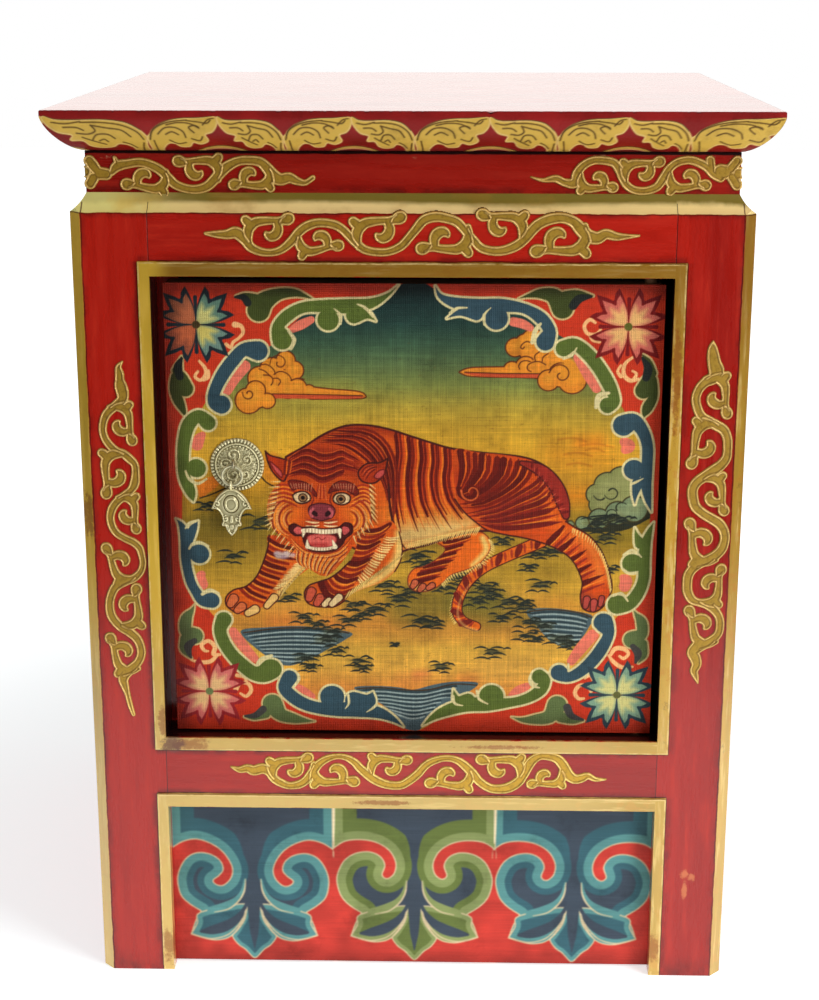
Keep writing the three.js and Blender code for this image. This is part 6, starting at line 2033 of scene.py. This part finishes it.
def add_drop():
    """The leaf drop with the loop that it hangs by."""
    step = 0.22
    outline = smooth(DROP_HALF + [(-u, v) for u, v in DROP_HALF[::-1]], True, 4)
    x, down = np.meshgrid(np.arange(-14, 14.01, step), np.arange(-0.6, 33.6, step))
    distance = path_distance(x, down, outline, True)
    height = drop_height(x, down, distance)
    kept, used, number = kept_cells(distance < 0.12)
    padded = np.pad(height, 4, mode="edge")
    rows, cols = height.shape
    shifts = range(0, 9, 2)
    around = sum(padded[i:i + rows, j:j + cols] for i in shifts for j in shifts) / len(shifts) ** 2
    top_z = DROP_BOTTOM + DROP_LENGTH
    front = np.column_stack([DROP_X + x[used], DROP_BACK - 0.3 - height[used], top_z - down[used]])
    back = front.copy()
    back[:, 1] = DROP_BACK
    faces = closed_grid(number, kept, len(front))
    ring, ring_faces = tube_ring((DROP_X, RING_Y, LOOP_Z), LOOP_RADIUS, LOOP_WIRE)
    faces = faces + (ring_faces + 2 * len(front)).tolist()
    colours = hollow_colours(height[used], around[used])
    colours = np.vstack([colours, np.tile(BRASS_DARK, (len(front), 1)),
                         np.tile(BRASS_PALE, (len(ring), 1))])
    piece = add_mesh("leaf_drop", np.vstack([front, back, ring]), faces, [CAST_BRASS], "pull_drop",
                     ["pull_drop"], colours)
    turn_outwards(piece)


# Scrolls: stems as points (right, up, radius), and leaves as (middle of the hook, knob, side of the hook)
TOP_RAIL_STEM = [(-131, 522.5, 0.9), (-124.5, 522, 2), (-117, 522, 2.8), (-111.5, 523, 3.5),
                 (-106, 519, 3.5), (-102.5, 514, 2.8), (-96, 511, 2.4), (-89, 510.5, 2.2),
                 (-82.5, 512.5, 2.4), (-76, 518, 2.8), (-71.5, 523.5, 2.8), (-66, 527.5, 2.8),
                 (-58.5, 529.5, 2.6), (-49.5, 528.5, 2.6), (-44, 525.5, 2.6), (-39.5, 521, 2.6),
                 (-35, 516.5, 2.6), (-29.5, 512.5, 2.5), (-21.5, 511, 2.4), (-14, 511.5, 2.4),
                 (-6.5, 515, 2.6), (-1, 521, 2.6), (3.5, 526.5, 2.8), (8, 531.5, 3), (15, 533.5, 3),
                 (22.5, 532.5, 2.8), (29, 530, 2.8), (35, 523.5, 2.6), (39.5, 518.5, 2.6), (44, 514, 2.6),
                 (51.5, 512, 2.6), (59, 512.5, 2.8), (66.5, 515.5, 3), (72, 520, 3), (76.5, 525.5, 3.2),
                 (81, 529.5, 3.2), (88.5, 532.5, 3.2), (96, 533, 3), (102.5, 530.5, 3.2), (107, 526, 3.8),
                 (111.5, 522, 3.9), (117.5, 520.5, 3.6), (123, 523, 3), (129.5, 521.5, 2.4),
                 (136, 521.5, 1.5), (144, 522, 0.6)]
TOP_RAIL_LEAVES = [((-95, 522.5), (-78.5, 531.5), 1), ((-63.5, 518.5), (-47, 515.5), -1),
    ((-25, 521.5), (-7.5, 532.5), 1), ((26, 521.5), (7, 514), 1), ((61.5, 526), (45, 534.5), -1),
    ((99.5, 521.5), (79.5, 512.5), 1)]
BOTTOM_RAIL_STEM = [(-123.5, 156, 0.6), (-118, 154, 2), (-112.5, 155, 2.7), (-108, 153.5, 3.3),
                    (-102, 155, 3.4), (-97.5, 153, 3.3), (-94, 147.5, 2.8), (-89.5, 144.5, 2.7),
                    (-84, 142.5, 2.4), (-77, 143.5, 2.7), (-72, 147, 2.8), (-67.5, 153, 3),
                    (-63.5, 158.5, 2.8), (-58, 162.5, 2.4), (-51.5, 164.5, 1.9), (-45, 164, 2),
                    (-39, 160.5, 2.5), (-35, 156, 2.8), (-29.5, 151, 3), (-24, 147, 3), (-16.5, 144, 2.8),
                    (-8, 143.5, 2.8), (-2, 146.5, 2.8), (4.5, 152, 2.8), (10, 158.5, 2.6), (15.5, 162, 2.5),
                    (23, 164, 2.1), (30.5, 163, 2.3), (36.5, 159, 2.8), (42, 153, 3.1), (47, 147, 2.8),
                    (53.5, 142.5, 2.8), (59.5, 141.5, 3), (66.5, 142.5, 3.3), (73, 146.5, 3.3),
                    (77, 152, 3), (80.5, 159.5, 3.3), (84, 164, 3), (89, 166.5, 2.6), (95.5, 166, 2.8),
                    (100.5, 164, 3.1), (104.5, 159, 3.3), (108, 152.5, 3.5), (112.5, 149.5, 3.1),
                    (117.5, 150.5, 2.8), (121, 152, 2.1), (126.5, 149.5, 1.5), (133.5, 149.5, 0.5)]
BOTTOM_RAIL_LEAVES = [((-86.5, 153), (-71, 163), 1), ((-57.5, 153.5), (-39.5, 146.5), -1),
    ((-19, 156), (-3, 162), 1), ((31.5, 151.5), (13.5, 146), 1), ((66, 155.5), (48.5, 163), -1),
    ((96.5, 152), (83, 146), 1)]
LEFT_LEG_STEM = [(-187.5, 439, 0.6), (-190, 435.5, 1.8), (-189.5, 431, 2.6), (-189.5, 427, 2.8),
                 (-189, 423, 3.7), (-188, 418.5, 3.7), (-188.5, 414, 3.2), (-193.5, 409.5, 2.8),
                 (-198.5, 405, 2.7), (-201, 400, 2.5), (-202, 394, 2.4), (-201, 388.5, 2.4),
                 (-198, 383.5, 2.5), (-193.5, 379.5, 2.5), (-189, 377.5, 2.6), (-185, 374, 2.7),
                 (-182, 370.5, 2.4), (-181.5, 364.5, 2.5), (-182.5, 357.5, 2.9), (-185, 353, 2.5),
                 (-189.5, 349, 2.7), (-194.5, 345, 2.7), (-198, 340, 2.7), (-199.5, 334, 2.5),
                 (-198.5, 328, 2.5), (-195.5, 323, 2.4), (-190, 319.5, 2.4), (-185, 317, 2.5),
                 (-181, 313, 2.4), (-179.5, 307.5, 2.2), (-179, 302.5, 2.1), (-180.5, 297, 2.2),
                 (-184.5, 292.5, 2.5), (-191, 289.5, 2.7), (-197.5, 286, 2.9), (-201, 280, 2.7),
                 (-202.5, 273, 2.7), (-201.5, 265, 2.9), (-196.5, 258, 2.9), (-190.5, 254, 3),
                 (-185.5, 249.5, 2.9), (-183, 244, 2.7), (-182.5, 238, 2.7), (-185, 232, 2.7),
                 (-189.5, 227.5, 3.1), (-193.5, 224, 3.5), (-195.5, 219.5, 3.1), (-194.5, 214.5, 2.5),
                 (-193, 208.5, 1.7), (-191.5, 201, 1.6), (-189.5, 194, 1.2)]
LEFT_LEG_LEAVES = [((-191.5, 401.5), (-183.5, 387), 1), ((-193.5, 368.5), (-201, 351), -1),
                   ((-189.5, 340.5), (-183, 326.5), 1), ((-191, 299), (-202.5, 312.5), 1),
                   ((-191, 267), (-184.5, 284), -1), ((-192, 234.5), (-202.5, 249), 1)]
RIGHT_LEG_STEM = [(193.5, 454.5, 0.5), (193.5, 450, 2.6), (194, 445, 3.6), (195, 440, 4), (196.5, 435, 4.5),
                  (195, 430.5, 3.5), (190, 428, 3.1), (186, 423.5, 2.8), (184, 417.5, 2.7),
                  (185, 411.5, 2.7), (188, 405.5, 2.8), (193, 402, 3), (198.5, 399, 3.1), (203, 396, 3),
                  (205.5, 390.5, 2.8), (206, 385, 2.8), (206, 383, 2.7), (205.5, 377.5, 2.9),
                  (202, 372.5, 3.2), (197.5, 369, 3.4), (192, 365, 3.3), (187, 361, 3.2), (184.5, 356, 3.2),
                  (185, 349.5, 3.2), (187, 344, 3.1), (192, 339.5, 3), (197, 336.5, 3.1), (202.5, 333, 3.2),
                  (206, 328, 3), (207, 322.5, 2.9), (205.5, 316, 3.1), (202, 311.5, 3.2),
                  (197.5, 308.5, 3.2), (191.5, 305.5, 3.3), (187, 302, 3.1), (184, 297, 3.1),
                  (183.5, 291.5, 3), (184, 285.5, 3), (187, 280, 2.8), (191.5, 278, 2.4), (197, 276.5, 2.8),
                  (202, 273, 2.8), (205.5, 268, 2.6), (206.5, 262, 2.6), (205.5, 256, 2.6),
                  (201.5, 251.5, 2.9), (196.5, 248.5, 3.3), (191.5, 246, 3.9), (189, 242.5, 3.5),
                  (191, 238.5, 3.5), (192, 234, 3), (190.5, 229.5, 2.5), (192, 225, 1.7),
                  (193.5, 220.5, 0.4)]
RIGHT_LEG_LEAVES = [((195.5, 422.5), (204, 407.5), 1), ((193.5, 391), (183.5, 374), -1),
    ((196.5, 356), (205, 342), 1), ((194.5, 316), (184, 332.5), 1), ((197, 286), (205, 301), -1),
    ((197, 257.5), (186, 272), 1)]
WAIST_LEFT_STEM = [(-191, 559.5, 1.9), (-187.5, 563.5, 3.1), (-181, 565, 2.7), (-173, 566, 2.6),
    (-166.5, 564.5, 2.7), (-160, 561, 2.9), (-155, 556, 2.9), (-150.5, 552, 2.7), (-144, 549.5, 2.6),
    (-137, 549, 2.7), (-130.5, 551, 2.9), (-125.5, 555.5, 3.1), (-121.5, 560, 3.3), (-116.5, 564, 3.1),
    (-110, 567, 2.7), (-103, 567.5, 2.7), (-96.5, 566.5, 2.9), (-92, 562.5, 3.3), (-88, 557.5, 3.9),
    (-83.5, 555.5, 3.5), (-78, 556.5, 3.1), (-73, 554.5, 2.3), (-68, 553.5, 1.7), (-63, 556.5, 1.5)]
WAIST_LEFT_LEAVES = [((-165, 556.5), (-181.5, 552.5), 1), ((-131.5, 560), (-148, 566.5), -1),
    ((-98, 558.5), (-113, 552.5), 1)]
WAIST_RIGHT_STEM = [(75.5, 557.5, 0.4), (83, 555.5, 1.1), (91, 556.5, 2.1), (97, 554, 2.3), (103, 554, 3),
                    (104.5, 560, 2.7), (108.5, 565, 2.5), (114.5, 568, 2.4), (121.5, 568, 2.4),
                    (127.5, 566.5, 2.5), (131, 562, 2.5), (133, 557, 2.3), (136, 552.5, 2.3),
                    (141, 549.5, 2.3), (148, 549, 2.3), (155, 551.5, 2.5), (159, 557, 2.7),
                    (162.5, 563, 2.5), (167.5, 567, 2.4), (174.5, 568.5, 2.4), (180.5, 567, 2.5),
                    (186, 564, 2.5), (190.5, 559.5, 2.5), (195, 557.5, 2.7)]
WAIST_RIGHT_LEAVES = [((113.5, 556.5), (127, 551.5), -1), ((142, 559.5), (156, 567), 1),
    ((170.5, 557.5), (185.5, 553), -1)]
WAIST_LEFT_ENDS = [
    [(-205, 567, 3.2), (-203, 564, 3.4), (-200, 560, 3)],
    [(-205, 552.5, 3.2), (-203, 556, 3.4)],
    [(-199, 559, 3.8), (-194.5, 558.5, 3.4)],
    [(-189, 569, 1), (-187, 565, 2)],
    [(-208, 560, 3.4), (-213, 559, 2.8), (-219, 561, 2.2), (-224, 559, 1.6), (-229, 560.5, 0.6)],
]
WAIST_RIGHT_ENDS = [[(195, 561, 4.6), (198, 561, 4.2)], [(205, 568, 3), (201, 563, 3)],
                    [(205.5, 553, 3.2), (202, 558, 3)], [(188, 568.5, 2.6), (189, 562, 2.6)],
                    [(206, 560, 3.6), (212, 561, 2.8), (218, 559, 2.2), (226, 560.5, 0.8)]]
SCROLLS = [
    ("scroll_top_rail", [TOP_RAIL_STEM], TOP_RAIL_LEAVES, front_place),
    ("scroll_bottom_rail", [BOTTOM_RAIL_STEM], BOTTOM_RAIL_LEAVES, front_place),
    ("scroll_leg_left", [LEFT_LEG_STEM], LEFT_LEG_LEAVES, front_place),
    ("scroll_leg_right", [RIGHT_LEG_STEM], RIGHT_LEG_LEAVES, front_place),
    ("scroll_waist_left", [WAIST_LEFT_STEM, *WAIST_LEFT_ENDS], WAIST_LEFT_LEAVES, waist_place),
    ("scroll_waist_right", [WAIST_RIGHT_STEM, *WAIST_RIGHT_ENDS], WAIST_RIGHT_LEAVES, waist_place),
]


add_door_painting()
add_plate()
add_drop()
add_apron_painting()
add_top()
for scroll in SCROLLS:
    add_relief(*scroll)

# Camera
CAMERA_PLACE = (0.02727, -1.4125, 0.6869)
CAMERA_YAW = math.radians(-1.36)
CAMERA_PITCH = math.radians(15.73)
CAMERA_ROLL = math.radians(-0.04)
CAMERA_LENS = 68.43


def add_camera():
    """The photograph's camera."""
    camera = bpy.data.objects.new("camera", bpy.data.cameras.new("camera"))
    bpy.context.scene.collection.objects.link(camera)
    camera.data.lens = CAMERA_LENS
    camera.data.sensor_width = 36
    camera.data.sensor_fit = "AUTO"
    camera.location = CAMERA_PLACE
    camera.rotation_euler = (math.pi / 2 - CAMERA_PITCH, CAMERA_ROLL, -CAMERA_YAW)
    bpy.context.scene.camera = camera


add_camera()
bpy.context.scene.view_settings.view_transform = "Standard"


# Floor, backdrop and light
STUDIO_DARK = 0.02
STUDIO_BRIGHT = 1.32
STUDIO_WARM = (1, 0.945, 0.915, 1)
STUDIO_SOFT = 0.33


def add_world():
    """White to the camera, soft as light, and in reflections dark before the object, bright behind it."""
    world = bpy.data.worlds.new("studio")
    bpy.context.scene.world = world
    world.use_nodes = True
    tree = world.node_tree
    tree.nodes.clear()
    coord = tree.nodes.new("ShaderNodeTexCoord")
    parts = tree.nodes.new("ShaderNodeSeparateXYZ")
    tree.links.new(coord.outputs["Generated"], parts.inputs[0])
    behind = tree.nodes.new("ShaderNodeMapRange")
    behind.interpolation_type = "SMOOTHSTEP"
    for socket, value in (("From Min", 0.1), ("From Max", 0.6), ("To Min", STUDIO_DARK),
                          ("To Max", STUDIO_BRIGHT)):
        behind.inputs[socket].default_value = value
    tree.links.new(parts.outputs["Y"], behind.inputs["Value"])
    path = tree.nodes.new("ShaderNodeLightPath")
    diffuse = tree.nodes.new("ShaderNodeMix")
    tree.links.new(path.outputs["Is Glossy Ray"], diffuse.inputs["Factor"])
    diffuse.inputs[2].default_value = STUDIO_SOFT
    tree.links.new(behind.outputs[0], diffuse.inputs[3])
    seen = tree.nodes.new("ShaderNodeMix")
    tree.links.new(path.outputs["Is Camera Ray"], seen.inputs["Factor"])
    tree.links.new(diffuse.outputs[0], seen.inputs[2])
    seen.inputs[3].default_value = 1.0
    background = tree.nodes.new("ShaderNodeBackground")
    tint = tree.nodes.new("ShaderNodeMix")
    tint.data_type = "RGBA"
    tree.links.new(path.outputs["Is Glossy Ray"], tint.inputs["Factor"])
    tint.inputs[6].default_value = (1, 1, 1, 1)
    tint.inputs[7].default_value = STUDIO_WARM
    tree.links.new(tint.outputs[2], background.inputs["Color"])
    tree.links.new(seen.outputs[0], background.inputs["Strength"])
    output = tree.nodes.new("ShaderNodeOutputWorld")
    tree.links.new(background.outputs[0], output.inputs["Surface"])


add_world()
FLOOR_GLOW = 0.5
FLOOR_BOUNCE = 1.1


def add_floor():
    """A pale floor: near white to the camera, shaded by the object, reflected only close to it, and glowing
    near it as painted bounce light on the object.
    """
    size = 6.0
    mesh = bpy.data.meshes.new("floor")
    corners = [(-size, -size, 0), (size, -size, 0), (size, size, 0), (-size, size, 0)]
    mesh.from_pydata(corners, [], [(0, 1, 2, 3)])
    floor = bpy.data.objects.new("studio_floor", mesh)
    bpy.context.scene.collection.objects.link(floor)
    g = Graph("studio_floor")
    path = g.new("ShaderNodeLightPath")
    length = g.new("ShaderNodeVectorMath", operation="LENGTH")
    g.put(length.inputs[0], g.place)
    far = g.ramp(length.outputs["Value"], 0.7, 1.3)
    reflected = path.outputs["Is Glossy Ray"]
    g.shader.inputs["Roughness"].default_value = 0.9
    g.shader.inputs["Specular IOR Level"].default_value = 0.0
    g.put(g.shader.inputs["Base Color"], g.mix(g.times(reflected, far), (230, 242, 244), (12, 12, 12)))
    near_glow = g.times(reflected, g.mix_value(far, FLOOR_GLOW, 0.0))
    seen_glow = g.mix_value(g.ramp(length.outputs["Value"], 0.35, 1.0), 0.6, 1.0)
    # Painted bounce light: near the object the floor glows for diffuse rays
    bounce = g.mix_value(g.ramp(length.outputs["Value"], 0.45, 0.9), FLOOR_BOUNCE, 0.0)
    near_glow = g.mix_value(path.outputs["Is Diffuse Ray"], near_glow, bounce)
    glow = g.mix_value(path.outputs["Is Camera Ray"], near_glow, seen_glow)
    g.put(g.shader.inputs["Emission Strength"], glow)
    g.shader.inputs["Emission Color"].default_value = (1, 1, 1, 1)
    mesh.materials.append(g.material)


add_floor()


def add_light(name, place, aim, size, power):
    """A rectangular lamp of that size in metres and power in watts, turned to its aim."""
    light = bpy.data.lights.new(name, "AREA")
    light.shape = "RECTANGLE"
    light.size, light.size_y = size
    light.energy = power
    light.spread = math.pi
    lamp = bpy.data.objects.new(name, light)
    bpy.context.scene.collection.objects.link(lamp)
    lamp.location = place
    direction = np.array(aim, float) - np.array(place, float)
    lamp.rotation_euler = Vector(direction).to_track_quat("-Z", "Y").to_euler()
    lamp.visible_camera = False


add_light("key", (1.2, -1.1, 1.5), (0.05, 0, 0.3), (0.7, 0.7), 15)
add_light("fill", (-1.9, -0.6, 0.9), (0, 0, 0.3), (1.0, 1.2), 3.5)
add_light("low", (1.15, -1.2, 0.3), (0.1, -0.2, 0.05), (0.6, 0.4), 9)
